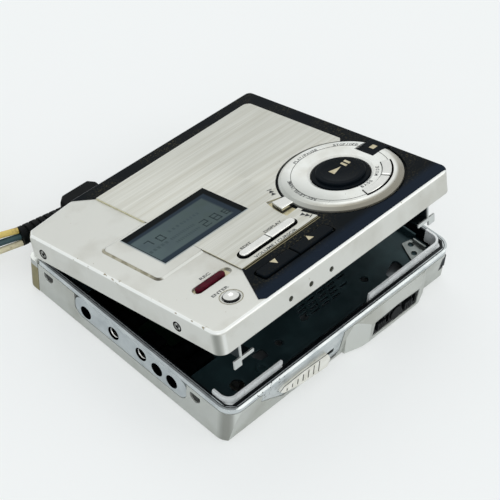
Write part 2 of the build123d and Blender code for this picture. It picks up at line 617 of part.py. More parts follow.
def make_black_panel():
    """Gloss black panel: back band, right band, front field and the dial's bed."""
    form = top_edges(lid_block(0, (LID_Z, BLACK_Z)), BLACK_Z, 0.9)
    panel = plate(PANEL_EDGE, (BED_Z, BLACK_Z)) & form
    panel -= plate(plate_outline(), (0, 30))
    panel -= block((SPLIT_X - 1.0, SPLIT_X + 0.2), (-25.0, 33.6), (0, 30))
    panel -= disc(DIAL, (0, 30), DIAL_POCKET)
    bed = disc(DIAL, (20.2, BED_Z), DIAL_POCKET + 0.75) - disc(DIAL, (0, 30), DIAL_HOLE)
    bed -= block((STOP_X[0] - 0.3, 46), (STOP_Y[0] - 0.3, STOP_Y[1] + 0.3), (0, 30))
    bed -= sector(DIAL, (ARC_R[0] - 0.2, ARC_R[1] + 0.2), (BASS_TURN[0] - 1, MODE_TURN[1] + 1), (0, 30))
    panel += bed
    panel -= block((STOP_X[0] - 0.3, STOP_X[1] + 0.3), (STOP_Y[0] - 0.3, STOP_Y[1] + 0.3), (0, 30))
    volume = (VOLUME_DOWN_X[0] - 0.2, VOLUME_UP_X[1] + 0.2), (VOLUME_Y[0] - 0.2, VOLUME_Y[1] + 0.2)
    return panel - plate(rect(*volume), (0, 30), 0.8)


def make_dial_ring():
    """Domed silver ring round the play key, cut for the stop key and two arcs."""
    profile = [(DIAL_HOLE + 0.1, 20.75), (DIAL_R, 20.75), (DIAL_R, 21.4), (16.6, 22.1), (15.0, 22.45)]
    profile += [(DIAL_HOLE + 0.9, 22.45), (DIAL_HOLE + 0.1, 22.0)]
    face = Plane.XZ.offset(-DIAL[1]) * Pos(DIAL[0], 0, 0) * flat(profile)
    ring = revolve(face, Axis((DIAL[0], DIAL[1], 0), (0, 0, 1)))
    ring -= block((STOP_X[0] - 0.2, 46), (STOP_Y[0] - 0.2, STOP_Y[1] + 0.2), (0, 30))
    return ring - sector(DIAL, (ARC_R[0] - 0.2, ARC_R[1] + 0.2), (BASS_TURN[0] - 1, MODE_TURN[1] + 1), (0, 30))


def make_play_button():
    """Large round key with a skirt, slightly dished on top."""
    skirt = top_edges(disc(DIAL, (20.65, 22.3), DIAL_HOLE - 0.25), 22.3, 0.3)
    key = top_edges(disc(DIAL, (22.2, 23.1), PLAY_TOP_R), 23.1, 0.35)
    key -= Pos(DIAL[0], DIAL[1], 23.0 + 40.0) * Sphere(40.3)
    return skirt + key + disc(DIAL, (19.75, 20.7), 1.0)


def make_stop_button():
    key = plate(rect(STOP_X, STOP_Y), (20.7, 22.1), 0.9)
    return top_edges(key, 22.1, 0.25) + stem("stop")


def make_arc_button(turn, name):
    key = sector(DIAL, ARC_R, turn, (20.7, 22.9))
    return top_edges(key, 22.9, 0.35) + stem(name)


def make_bar_button(x, y, z, name, round_side):
    """A key of a two-part bar: one end round, the other straight."""
    half = (y[1] - y[0]) / 2 * 0.98
    key = plate(rect(x, y), z, 0.0)
    ends = [e for e in key.edges().filter_by(Axis.Z) if (e.center().X - sum(x) / 2) * round_side > 0]
    key = fillet(ends, half if half < 1.5 else 0.9)
    return top_edges(key, z[1], 0.3) + stem(name)


def make_record_slider():
    """Dark red slider that starts a recording."""
    knob = pill(REC_X, REC_Y, (20.3, 21.6))
    knob = top_edges(knob, 21.6, 0.4)
    return knob + block((-32.0, -28.6), (-22.0, -21.6), (19.6, 20.4))


def make_enter_button():
    """Chrome dome key."""
    r = 2.15
    dome = disc(ENTER, (20.65, 21.5), r)
    ball = Pos(ENTER[0], ENTER[1], 21.5 - 2.2) * Sphere(math.hypot(r, 2.2))
    dome += ball & block((-40, -20), (-40, -20), (21.5, 30))
    return dome + stem("enter")


def make_skip_lever():
    """Spring-centred lever that slides along the dial's rim."""
    lever = sector(DIAL, LEVER_R, LEVER_TURN, (20.7, 22.5))
    return top_edges(lever, 22.5, 0.35)


def make_lcd_glass():
    return block(LCD_X, LCD_Y, (BED_Z, PLATE_Z + 0.05))


def make_lcd_module():
    return block((LCD_X[0] + 1.2, LCD_X[1] - 1.2), (LCD_Y[0] + 1.2, LCD_Y[1] - 1.2), (19.3, BED_Z))


def make_lid_board():
    """Circuit board under the keys."""
    board = plate(rect((-41.0, 42.6), (-37.4, 27.0)), (18.5, 19.3), 1.5)
    return board - block((-10, 10), (9, 30), (0, 30))


def make_lid_inner_plate():
    """Black underside of the lid, open over the disc's window."""
    sheet = plate(rect((-43.5, 43.5), (-37.9, 30.0)), (17.8, 18.2), 2.0)
    sheet -= block((-6.5, 6.5), (-2.0, 31), (0, 30))
    for x in (-30, 30):
        sheet -= plate(rect((x - 5, x + 5), (-20, 20)), (18.0, 30), 2.0)
    return sheet


def make_lid_screws():
    """Two cross-head screws of the left wall and three tiny ones of the front."""
    screws = []
    for y, z in SIDE_SCREWS:
        head = rod_x((-44.8, -44.5), y, z, 1.2) - block((-46, -44.6), (y - 0.9, y + 0.9), (z - 0.12, z + 0.12))
        head -= block((-46, -44.6), (y - 0.12, y + 0.12), (z - 0.9, z + 0.9))
        screws.append(head + rod_x((-44.5, -41.8), y, z, 0.5))
    for x, z in FRONT_SCREWS:
        screws.append(rod_y(x, (-39.25, -39.0), z, 0.7) + rod_y(x, (-39.0, -38.0), z, 0.35))
    return Compound(children=screws)


def make_record_head():
    """Leaf arm under the lid that lowers the magnetic head on the disc."""
    arm = block((-2.6, 2.6), (6.0, HEAD_Y + 1.0), (17.35, 17.6))
    arm += block((-3.4, 3.4), (LENS_Y - 3.0, LENS_Y + 4.5), (16.6, 17.6))
    arm += block((-1.6, 1.6), (LENS_Y - 1.2, LENS_Y + 1.6), (16.0, 16.7))
    return arm + rod_x((-5.8, 5.8), HEAD_Y, 17.7, 0.5)


def make_disc_holder():
    """Sheet-metal tray that takes the cartridge, with two tabs that latch shut."""
    x, front, back = 37.2, -37.2, 29.6
    tray = block((-x, x), (front, back), (17.1, 17.5))
    tray -= block((-7.5, 7.5), (-13.0, back + 1), (0, 30))
    tray -= plate(rect((-28, -14), (-22, 16)), (0, 30), 3.0)
    for side in (-1, 1):
        near, far = sorted((side * (x - 0.5), side * x))
        tray += block((near, far), (front, back), (11.5, 17.5))
        low, high = sorted((side * 33.2, side * x))
        tray += block((low, high), (front, back), (11.5, 12.0))
        low, high = sorted((side * 32.6, side * 39.6))
        tray += block((low, high), (front - 0.1, front + 0.4), (11.3, 12.4))
        low, high = sorted((side * 37.0, side * 39.6))
        tray += block((low, high), (front - 0.1, front + 0.4), (9.7, 12.4))
        low, high = sorted((side * 8.5, side * x))
        tray += block((low, high), (back - 0.5, back), (13.0, 17.5))
    return tray


# ------------------------------------------------------------ plug and lead
PLUG = [(-10.5, 41.0), (-10.5, 49.6), (-12.2, 51.6), (-21.8, 51.6), (-24.0, 49.8), (-24.0, 41.0)]
ROUTES = {  # points of each wire from the strain relief to the coil
    "wire_yellow": [
        (-39.4, 50.15, 9.6), (-45.4, 52.8, 9.2), (-51.0, 56.7, 7.4), (-55.6, 61.6, 5.6),
        (-58.8, 67.2, 4.8), (-60.2, 72.8, 4.75),
    ],
    "wire_teal": [
        (-39.4, 49.2, 7.9), (-45.8, 51.6, 7.5), (-51.8, 55.4, 5.3), (-57.0, 60.1, 3.5),
        (-60.9, 66.2, 2.8), (-62.9, 75.2, 2.85),
    ],
    "wire_cream": [
        (-39.4, 48.2, 6.2), (-46.1, 50.5, 5.6), (-52.7, 54.1, 3.3), (-58.7, 58.9, 1.2),
        (-63.4, 65.5, 0.95), (-66.0, 73.0, 0.95), (-64.6, 80.0, 0.95),
    ],
}


def make_plug_body():
    """Flat right-angle plug in the rear socket."""
    body = plate(PLUG, (4.7, 11.2), 0.8)
    body = fillet(body.faces().sort_by(Axis.Z)[-1].edges(), 0.8)
    nose = block((SOCKET_X[0] + 0.3, SOCKET_X[1] - 0.3), (36.6, 41.1), (SOCKET_Z[0] + 0.3, SOCKET_Z[1] - 0.5))
    return body + nose


def make_plug_relief():
    """Ribbed strain relief that leaves the plug to the left."""
    start = Vector(-23.6, 46.9, 7.9)
    way = Vector(*RELIEF_END) - start
    core = Plane(origin=start, z_dir=way) * Pos(0, 0, way.length / 2) * Cylinder(2.3, way.length)
    for rib in range(7):
        at = way.length - 0.75 - rib * 2.25
        core += Plane(origin=start, z_dir=way) * Pos(0, 0, at) * Cylinder(2.85, 1.5)
    return core - block((-24.0, -20), (40, 55), (0, 20))


def make_wire(points, relief):
    """A round wire along straight runs joined by arcs as large as they allow."""
    spots = [Vector(*p) for p in points]
    radii = []
    for before, here, after in zip(spots, spots[1:], spots[2:]):
        run = min((here - before).length, (after - here).length)
        turn = (here - before).get_angle(after - here)
        radii.append(0.45 * run / math.tan(math.radians(turn) / 2))
    print("  wire bend radii", [round(r, 1) for r in radii])
    path = FilletPolyline(*spots, radius=radii)
    tube = sweep(Plane(origin=path @ 0, z_dir=path % 0) * Circle(WIRE_R), path=path)
    print("  tube volume / section x length", round(tube.volume / (math.pi * WIRE_R**2 * path.length), 4))
    return tube - disc(COIL_AT, (-1, 20), COIL_R) - relief


def make_wire_coil():
    """Outer shape of the wound-up rest of the three wires."""
    return disc(COIL_AT, (0, COIL_H), COIL_R) - disc(COIL_AT, (-1, 20), COIL_EYE)


def make_wire_connector():
    """Small three-way housing that ends the wires, lying on the coil."""
    x, y = COIL_AT[0], COIL_AT[1] - 11.0
    body = block((x - 4.5, x + 4.5), (y - 3.4, y + 3.4), (COIL_H, COIL_H + 2.9))
    for slot in (-2.1, 0.0, 2.1):
        body -= block((x + 2.0, x + 5), (y + slot - 0.6, y + slot + 0.6), (COIL_H + 0.9, COIL_H + 2.1))
    return body


# ------------------------------------------------------------ all parts


def base_parts():
    parts = {
        "bottom_cover": make_bottom_cover(),
        "rim_frame": make_rim_frame(),
        "guide_lips": make_guide_lips(),
        "rear_panel": make_rear_panel(),
        "dock_socket": make_dock_socket(),
        "jack_panel": make_jack_panel(),
        "strap_eyelet": make_strap_eyelet(),
        "switch_bezel": make_switch_bezel(),
        "hold_switch": make_switch(11.1),
        "tone_switch": make_switch(22.6),
        "open_slider": make_open_slider(),
        "latch_slide": make_latch_slide(),
        "latch_spring": make_latch_spring(),
        "chassis_plate": make_chassis(),
        "corner_bracket": make_corner_bracket(),
        "hinge_pins": make_hinge_pins(),
        "hinge_spring": make_hinge_spring(),
        "main_board": make_main_board(),
        "board_chips": make_board_chips(),
        "battery": make_battery(),
        "battery_spring": make_battery_spring(),
        "battery_door": make_battery_door(),
        "spindle_motor": make_spindle_motor(),
        "turntable": make_turntable(),
        "optical_pickup": make_pickup(),
        "lead_screw": make_lead_screw() + make_feed_shaft(),
        "sled_motor": make_sled_motor(),
        "guide_rod": make_guide_rod(),
        "base_screws": make_base_screws(),
    }
    sockets = {name: make_jack(y, z) for name, (y, z) in JACKS.items()}
    parts["dc_jack"] = sockets.pop("dc_jack")
    parts["mini_jacks"] = Compound(children=list(sockets.values()))
    return parts


def lid_parts():
    shut = {
        "lid_shell": make_lid_shell(),
        "lid_inner_plate": make_lid_inner_plate(),
        "brushed_plate": make_brushed_plate(),
        "black_panel": make_black_panel(),
        "lcd_glass": make_lcd_glass(),
        "lcd_module": make_lcd_module(),
        "lid_board": make_lid_board(),
        "lid_screws": make_lid_screws(),
        "dial_ring": make_dial_ring(),
        "play_button": make_play_button(),
        "stop_button": make_stop_button(),
        "bass_button": make_arc_button(BASS_TURN, "bass"),
        "mode_button": make_arc_button(MODE_TURN, "mode"),
        "edit_button": make_bar_button(EDIT_X, EDIT_Y, (20.8, 22.1), "edit", -1),
        "display_button": make_bar_button(DISPLAY_X, EDIT_Y, (20.8, 22.1), "display", 1),
        "volume_down_button": make_bar_button(VOLUME_DOWN_X, VOLUME_Y, (20.8, 21.75), "volume_down", -1),
        "volume_up_button": make_bar_button(VOLUME_UP_X, VOLUME_Y, (20.8, 21.75), "volume_up", 1),
        "record_slider": make_record_slider(),
        "enter_button": make_enter_button(),
        "skip_lever": make_skip_lever(),
        "record_head": make_record_head(),
    }
    parts = {name: with_lid(shape) for name, shape in shut.items()}
    parts["disc_holder"] = with_holder(make_disc_holder())
    return parts


def lead_parts():
    relief = make_plug_relief()
    parts = {
        "plug_body": make_plug_body(),
        "plug_relief": relief,
        "wire_coil": make_wire_coil(),
        "wire_connector": make_wire_connector(),
    }
    for name, points in ROUTES.items():
        parts[name] = make_wire(points, relief)
    return parts


def main():
    os.makedirs("parts", exist_ok=True)
    for name, shape in {**base_parts(), **lid_parts(), **lead_parts()}.items():
        export_step(shape, f"parts/{name}.step")


if __name__ == "__main__":
    main()
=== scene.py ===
# %% [markdown]
# # A pocket disc recorder, standing half open
#
# The casing, keys and mechanism come from CAD as a fixed frame. This lesson
# dresses them: it sets the camera, lays the three thin wires that are plugged
# in behind, finishes every surface, and prints the small marks on the lid.

# %% Load the frame
import math

import bmesh
import bpy
from mathutils import Matrix, Vector


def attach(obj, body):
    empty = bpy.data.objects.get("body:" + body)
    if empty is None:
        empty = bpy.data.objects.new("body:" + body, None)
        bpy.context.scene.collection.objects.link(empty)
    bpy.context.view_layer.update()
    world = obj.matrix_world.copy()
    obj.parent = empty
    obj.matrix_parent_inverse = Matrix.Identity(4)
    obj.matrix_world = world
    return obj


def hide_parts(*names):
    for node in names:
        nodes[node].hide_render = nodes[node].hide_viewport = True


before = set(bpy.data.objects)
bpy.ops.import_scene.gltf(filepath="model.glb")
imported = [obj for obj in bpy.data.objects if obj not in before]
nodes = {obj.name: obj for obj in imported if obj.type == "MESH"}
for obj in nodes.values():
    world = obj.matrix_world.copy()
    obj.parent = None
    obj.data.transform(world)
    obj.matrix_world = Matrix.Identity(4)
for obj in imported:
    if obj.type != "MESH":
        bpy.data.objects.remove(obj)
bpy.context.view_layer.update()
MM = 0.001

# %% [markdown]
# The photograph looks down on the front left corner. Its view is three angles,
# a distance and a focal length, so the camera's three directions are built
# from the angles. An angle typed as a rotation would hide what it means.

# %% Camera
AZIMUTH = math.radians(-48.52)
ELEVATION = math.radians(45.38)
ROLL = math.radians(4.11)
CAMERA_AT = Vector((-219.68, -197.90, 311.71)) * MM
LENS_MM = 107.26
SENSOR_MM = 36.0

back = Vector((
    math.sin(AZIMUTH) * math.cos(ELEVATION),
    -math.cos(AZIMUTH) * math.cos(ELEVATION),
    math.sin(ELEVATION),
))
level_right = Vector((0, 0, 1)).cross(back).normalized()
level_up = back.cross(level_right)
right = level_right * math.cos(ROLL) + level_up * math.sin(ROLL)
up = level_up * math.cos(ROLL) - level_right * math.sin(ROLL)


def in_scene(name, data):
    """A new object of some data, linked to the scene."""
    new = bpy.data.objects.new(name, data)
    bpy.context.scene.collection.objects.link(new)
    return new


camera = in_scene("camera", bpy.data.cameras.new("camera"))
camera.matrix_world = Matrix.Translation(CAMERA_AT) @ Matrix((right, up, back)).transposed().to_4x4()
camera.data.lens = LENS_MM
camera.data.sensor_width = SENSOR_MM
bpy.context.scene.camera = camera
print("camera at", [round(v, 3) for v in camera.location])

# %% [markdown]
# The lid stands open by 14.5 degrees about the hinge line. Whatever is printed
# on it is drawn with the lid shut, where the lid is level, and then turned by
# this one matrix, as the real lid turns.

# %% The lid's slope
LID_REST = math.radians(14.5)
HOLDER_REST = LID_REST * 0.75
HINGE = Vector((0, 34.8, 13.05)) * MM


def opened(angle):
    """The matrix that opens a shut part about the hinge line."""
    return Matrix.Translation(HINGE) @ Matrix.Rotation(-angle, 4, "X") @ Matrix.Translation(-HINGE)


lid_turn = opened(LID_REST)
print("middle of the lid now", [round(v, 4) for v in lid_turn @ (Vector((0, 0, 21)) * MM)])

# %% [markdown]
# Every finish is a node material. One function turns a sRGB hex colour into the
# linear values Blender works in, one adds a node with its settings and links,
# and a third starts a material from its plain values.

# %% Helpers for nodes


def linear(hex_colour):
    """A #rrggbb colour as linear RGBA."""
    parts = [int(hex_colour[i:i + 2], 16) / 255 for i in (1, 3, 5)]
    flat = [c / 12.92 if c <= 0.04045 else ((c + 0.055) / 1.055) ** 2.4 for c in parts]
    return (*flat, 1.0)


def add(tree, kind, settings=None, inputs=None, links=None):
    """A shader node of a kind, with its settings, socket values and incoming links."""
    node = tree.nodes.new("ShaderNode" + kind)
    for name, value in (settings or {}).items():
        setattr(node, name, value)
    for name, value in (inputs or {}).items():
        node.inputs[name].default_value = value
    for name, source in (links or {}).items():
        tree.links.new(source, node.inputs[name])
    return node


def start(name, colour, roughness, **sockets):
    """A new material with a principled shader, and its plain values."""
    material = bpy.data.materials.new(name)
    material.use_nodes = True
    material.diffuse_color = linear(colour)
    shader = material.node_tree.nodes["Principled BSDF"]
    shader.inputs["Base Color"].default_value = linear(colour)
    shader.inputs["Roughness"].default_value = roughness
    for socket, value in sockets.items():
        shader.inputs[socket.replace("_", " ")].default_value = value
    return material, material.node_tree, shader


print("node helpers ready")

# %% [markdown]
# Real wear is uneven. Most of it is soft blotches of some size, and noise gives
# them, as its values can be spread between any two limits. The same noise as a
# height gives the tooth of a surface: a relief too fine to see as a shape, which
# breaks the shine. A picture laid on the part could do both, but it would have
# seams, and noise has none.

# %% Helpers for wear
EDGE_ROUND = 0.12 * MM  # the broken edge of moulded and pressed parts
TOOTH = (0.4, 0.02, 0.4)  # of most mouldings: grain and depth in mm, and its strength
DEEP_TOOTH = (0.4, 0.03, 0.5)
FINE_TOOTH = (0.3, 0.01, 0.3)
GLOSSY = (0.4, 0.01, 0.3)
LACQUER = (0.4, 0.02, 0.3)
SOFT = (0.5, 0.03, 0.5)
SHEET = (0.3, 0.02, 0.5)
INK = (0.3, 0.005, 0.2)
DIRT = (0.3, 0.01, 0.2)
CELL = (0.3, 0.001, 0.05)


def ranged(tree, value, low, high, out=(0.0, 1.0)):
    """Spreads what lies between low and high over another range, and holds it there."""
    span = {"From Min": low, "From Max": high, "To Min": out[0], "To Max": out[1]}
    return add(tree, "MapRange", None, span, {"Value": value}).outputs["Result"]


def blotches(tree, size_mm, low, high, out=(0.0, 1.0), stretch=(1, 1, 1)):
    """Soft blotches about size_mm across, from out[0] between them to out[1] inside."""
    place = add(tree, "TexCoord").outputs["Object"]
    scale = [1 / (size_mm * MM * s) for s in stretch]
    mapping = add(tree, "Mapping", inputs={"Scale": scale}, links={"Vector": place})
    settings = {"Scale": 1.0, "Detail": 4.0}
    noise = add(tree, "TexNoise", inputs=settings, links={"Vector": mapping.outputs["Vector"]})
    return ranged(tree, noise.outputs["Fac"], low, high, out)


def relief(tree, shader, grain_mm, depth_mm, strength, stretch=(1, 1, 1), edge=EDGE_ROUND):
    """Fine relief over softly broken edges, on the shader's normal."""
    height = blotches(tree, grain_mm, 0.2, 0.8, stretch=stretch)
    links = {"Height": height}
    if edge:
        links["Normal"] = add(tree, "Bevel", {"samples": 4}, {"Radius": edge}).outputs["Normal"]
    bump = add(tree, "Bump", None, {"Strength": strength, "Distance": depth_mm * MM}, links)
    tree.links.new(bump.outputs["Normal"], shader.inputs["Normal"])


print("tooth", TOOTH[0], "mm wide and", TOOTH[1], "mm deep")

# %% [markdown]
# Some parts change their finish at a line: a plated edge, a printed border, dirt
# along a seam. Such a line is a step along one axis, and on the lid that axis
# has to be the shut lid's own, so the point is first turned back. Each step is a
# mask from 0 to 1. Masks are multiplied where all must hold, the larger one
# counts where one is enough, and the result picks between two colours.

# %% Helpers for places and masks


def axes_of(tree, angle=0.0):
    """X, Y and Z of a point, as it'd be with its part shut by an angle."""
    shut = opened(angle).inverted()
    place = add(tree, "TexCoord").outputs["Object"]
    back_turn = {"Location": shut.translation, "Rotation": shut.to_euler()}
    mapping = add(tree, "Mapping", None, back_turn, {"Vector": place})
    return add(tree, "SeparateXYZ", links={"Vector": mapping.outputs["Vector"]}).outputs


def above(tree, value, limit_mm, blur_mm=0.15):
    """0 below a limit along an axis, and 1 above it."""
    return ranged(tree, value, (limit_mm - blur_mm / 2) * MM, (limit_mm + blur_mm / 2) * MM)


def below(tree, value, limit_mm, blur_mm=0.15):
    """1 below a limit along an axis, and 0 above it."""
    return above(tree, value, limit_mm, -blur_mm)


def facing(tree, direction, low, high):
    """1 where a face looks along a direction, 0 where it looks elsewhere."""
    normal = add(tree, "TexCoord").outputs["Normal"]
    dot = add(tree, "VectorMath", {"operation": "DOT_PRODUCT"}, {1: direction}, {0: normal})
    return ranged(tree, dot.outputs["Value"], low, high)


def combined(tree, operation, first, *others):
    """Several values in one, by the same operation from left to right."""
    whole = first
    for other in others:
        whole = add(tree, "Math", {"operation": operation}, None, {0: whole, 1: other}).outputs[0]
    return whole


def all_of(tree, *masks):
    """1 where every mask is 1."""
    return combined(tree, "MULTIPLY", *masks)


def any_of(tree, *masks):
    """1 where at least one mask is 1."""
    return combined(tree, "MAXIMUM", *masks)


def tinted(tree, under, over, mask):
    """Lays one colour over another where the mask is 1; each is a hex or a socket."""
    both = {6: under, 7: over}
    plain = {socket: linear(value) for socket, value in both.items() if isinstance(value, str)}
    linked = {socket: value for socket, value in both.items() if socket not in plain}
    return add(tree, "Mix", {"data_type": "RGBA"}, plain, {0: mask, **linked}).outputs[2]


def coat(tree, shader, colour, gloss, tooth, **how):
    """The end of every finish: its colour, its uneven gloss if it has one, and its tooth."""
    tree.links.new(colour, shader.inputs["Base Color"])
    if gloss:
        tree.links.new(blotches(tree, *gloss), shader.inputs["Roughness"])
    relief(tree, shader, *tooth, **how)


print("places and masks ready")

# %% [markdown]
# Satin silver paint over pressed metal covers the lid and the base. Fine metal
# flake makes the paint half metallic and a little rough. Hands have greyed it
# in soft patches. A few nicks let the brown primer through, and there are more
# of them along the lid's left edge, where it knocks against things in a bag.
# The rounded edges carry a painted highlight, and the front left corner a
# painted reflection: painted shade on one side and a painted highlight on the other.

# %% Silver paint
FLAKE_MM = 0.35  # real flake is ten times finer and would not show
KNOCKED_X, KNOCKED_Z = -44.0, 20.3  # beyond both, on the edge, the paint is nicked most
LID_UP = lid_turn.to_3x3() @ Vector((0, 0, 1))


def off_the_left(degrees):
    """The level direction that lies so far round from the left wall towards the front."""
    return (-math.cos(math.radians(degrees)), -math.sin(math.radians(degrees)), 0)


# The corner's faces turned the first way get painted shade, those turned the second way a painted highlight.
SHADED_SIDE, HIGHLIGHT_SIDE = off_the_left(33), off_the_left(72)


def silver_paint(name, colour, worn, nick, edge_highlight):
    material, tree, shader = start(name, colour, 0.34, Metallic=0.4)
    greyed = tinted(tree, colour, worn, blotches(tree, 14.0, 0.48, 0.75))
    places = axes_of(tree, LID_REST)
    edge = [below(tree, places["X"], KNOCKED_X, 0.5), above(tree, places["Z"], KNOCKED_Z, 0.5)]
    scuffs = all_of(tree, *edge, blotches(tree, 0.7, 0.63, 0.69, stretch=(1, 3, 1)))
    nicks = any_of(tree, scuffs, blotches(tree, 1.1, 0.72, 0.78))
    # Painted highlight on the rounded edges, then painted shade and a painted highlight on the two sides of
    # the front left corner.
    rounded = all_of(tree, facing(tree, LID_UP, 0.3, 0.5), facing(tree, LID_UP, 0.985, 0.93))
    edge_lit = tinted(tree, greyed, edge_highlight, rounded)
    corner = tinted(tree, edge_lit, "#90918A", facing(tree, SHADED_SIDE, 0.86, 0.99))
    front_lit = tinted(tree, corner, edge_highlight, facing(tree, HIGHLIGHT_SIDE, 0.95, 0.995))
    nicked = tinted(tree, front_lit, nick, nicks)
    coat(tree, shader, nicked, (3.0, 0.3, 0.7, (0.3, 0.46)), (FLAKE_MM, 0.02, 0.3))
    return material


lid_paint = silver_paint("satin_silver_paint", "#D2D2CB", "#BDBBB1", "#948A72", "#F2F3EF")
base_paint = silver_paint("base_silver_paint", "#BFC1BB", "#A9AAA1", "#8B836D", "#CFD1CB")
print("paints", lid_paint.name, base_paint.name)

# %% [markdown]
# The top plate is brushed aluminium. Brushing leaves scratches a few
# hundredths of a millimetre wide and many millimetres long, all along X, so
# the noise is stretched along X. They are drawn coarser than real, or they
# would vanish in the render.

# %% Brushed aluminium
SCRATCH_WIDTH_MM = 0.22
SCRATCH_LENGTH = (90, 1, 1)


def brushed_aluminium():
    material, tree, shader = start("brushed_aluminium", "#C9C9C2", 0.34, Metallic=0.75, Anisotropic=0.5)
    scratches = blotches(tree, SCRATCH_WIDTH_MM, 0.3, 0.7, stretch=SCRATCH_LENGTH)
    fine = tinted(tree, "#BFBFB6", "#D5D5CE", scratches)
    banded = tinted(tree, fine, "#BBB9AD", blotches(tree, 1.6, 0.45, 0.8, stretch=(40, 1, 1)))
    gloss = (SCRATCH_WIDTH_MM, 0.3, 0.7, (0.28, 0.44), SCRATCH_LENGTH)
    tooth = (SCRATCH_WIDTH_MM, 0.015, 0.5)
    coat(tree, shader, banded, gloss, tooth, stretch=SCRATCH_LENGTH, edge=0)
    return material


plate_metal = brushed_aluminium()
print("scratches", SCRATCH_WIDTH_MM, "mm wide")

# %% [markdown]
# The black panel and its keys are glossy moulded ABS, but old: brown dust sits
# in tiny specks, thicker in some patches, and dulls the gloss where it lies. The
# slope at the front has no dust and carries a painted bluish reflection.

# %% Worn gloss black
SPECK_MM = 0.5
FRONT_FALL_Y = -34.6  # in front of this the panel falls away, without dust and with a painted bluish reflection


def worn_black(name, colour, front, dust, gloss, amount):
    material, tree, shader = start(name, colour, gloss, Specular_IOR_Level=0.03)
    places = axes_of(tree, LID_REST)
    # the front colour is a painted bluish reflection on the falling front
    reflecting_slope = below(tree, places["Y"], FRONT_FALL_Y, 2.4)
    slope_reflected = tinted(tree, colour, front, reflecting_slope)
    cloud = blotches(tree, 9.0, 0.42, 0.72, (0.0, amount))
    specks = blotches(tree, SPECK_MM, 0.54, 0.66)
    still = above(tree, places["Y"], FRONT_FALL_Y, 2.4)
    dusty = all_of(tree, cloud, specks, still)
    uneven = (9.0, 0.42, 0.75, (gloss, gloss + 0.22))
    coat(tree, shader, tinted(tree, slope_reflected, dust, dusty), uneven, FINE_TOOTH)
    return material


panel_black = worn_black("worn_gloss_black", "#090F13", "#131E2B", "#5A533C", 0.2, 0.7)
key_black = worn_black("black_key_plastic", "#0B1116", "#11181F", "#35301F", 0.28, 0.5)
print("blacks", panel_black.name, key_black.name)

# %% [markdown]
# The plain blacks are spark-eroded ABS and soft PVC: matt, with a fine tooth.
# The rest of the plastics differ only in colour, gloss and tooth, so one
# function makes them all, each named for what it is on the object.

# %% Plastics


def finish(name, colour, shade, patch_mm, roughness, spread, tooth, **sockets):
    """A whole plain finish: two near colours in patches, uneven gloss, and a tooth."""
    material, tree, shader = start(name, colour, roughness, **sockets)
    patched = tinted(tree, colour, shade, blotches(tree, patch_mm, 0.42, 0.72))
    gloss = (patch_mm * 0.4, 0.3, 0.75, (roughness, roughness + spread))
    coat(tree, shader, patched, gloss, tooth)
    return material


moulded_black = finish("black_moulded_abs", "#14181B", "#23292D", 4.0, 0.45, 0.12, DEEP_TOOTH)
tray_black = finish("lid_lining_abs", "#101315", "#1A1F22", 6.0, 0.5, 0.12, (0.8, 0.03, 0.5))
plug_rubber = finish("plug_pvc", "#06090A", "#0D1011", 4.0, 0.5, 0.1, SOFT, Specular_IOR_Level=0.1)
switch_black = finish("black_switch_abs", "#080A0C", "#101315", 2.0, 0.4, 0.1, TOOTH, Specular_IOR_Level=0.1)
bezel_black = finish("gloss_black_abs", "#06080A", "#0E1113", 3.0, 0.2, 0.12, GLOSSY, Specular_IOR_Level=0.05)
record_red = finish("dark_red_acrylic", "#4E0A1C", "#300510", 1.6, 0.16, 0.1, GLOSSY, Specular_IOR_Level=0.06)
pocket_cream = finish("yellowed_pocket_abs", "#DDD3AE", "#C2B68C", 1.6, 0.4, 0.1, TOOTH)
recess_grime = finish("grimy_recess_abs", "#BDB28F", "#93855F", 2.0, 0.5, 0.15, DEEP_TOOTH)
chip_black = finish("chip_epoxy", "#121315", "#1D1F22", 2.0, 0.6, 0.1, TOOTH)
board_green = finish("board_epoxy", "#16301F", "#10251A", 3.0, 0.38, 0.1, (0.5, 0.02, 0.4))
optic_black = finish("optical_block_resin", "#1B2126", "#262E34", 3.0, 0.38, 0.1, TOOTH)
housing_nylon = finish("connector_nylon", "#DAD6C6", "#C9C4B1", 3.0, 0.42, 0.12, (0.4, 0.02, 0.35), IOR=1.53)
print("plastics", moulded_black.name, "to", housing_nylon.name)

# %% [markdown]
# Ink, dirt and the display's marks lie on the surface in thin films. Painted
# shade in gaps is nearly without shine, or the gap would light up where it should be dark.

# %% Ink and dirt
ink_black = finish("black_screen_ink", "#1B1F22", "#2C3134", 2.0, 0.5, 0.1, INK)
ink_cream = finish("cream_screen_ink", "#CDC2A2", "#B3A67F", 1.5, 0.5, 0.1, INK)
gap_shadow = finish("painted_gap_shade", "#020303", "#08090A", 2.0, 0.7, 0.1, DIRT, Specular_IOR_Level=0.0)
seam_grime = finish("grime_in_a_seam", "#978E6C", "#7C7452", 1.2, 0.6, 0.1, DIRT, Specular_IOR_Level=0.2)
seam_cream = finish("pale_seam_grime", "#DAD5B8", "#C3BD98", 1.2, 0.6, 0.1, DIRT, Specular_IOR_Level=0.2)
segment_grey = finish("display_segment", "#303B3D", "#3A4647", 2.0, 0.2, 0.1, CELL, Specular_IOR_Level=0.03)
cell_grey = finish("display_cell", "#465355", "#4B585A", 2.0, 0.2, 0.1, CELL, Specular_IOR_Level=0.03)
print("films", ink_black.name, "to", cell_grey.name)

# %% [markdown]
# The metals are chrome plate, dark coated sheet steel, bare sheet steel, turned
# steel, nickel and blackened steel. The socket panel is plastic with a satin
# silver lacquer, so it is only half metallic. Each has dulled in patches.

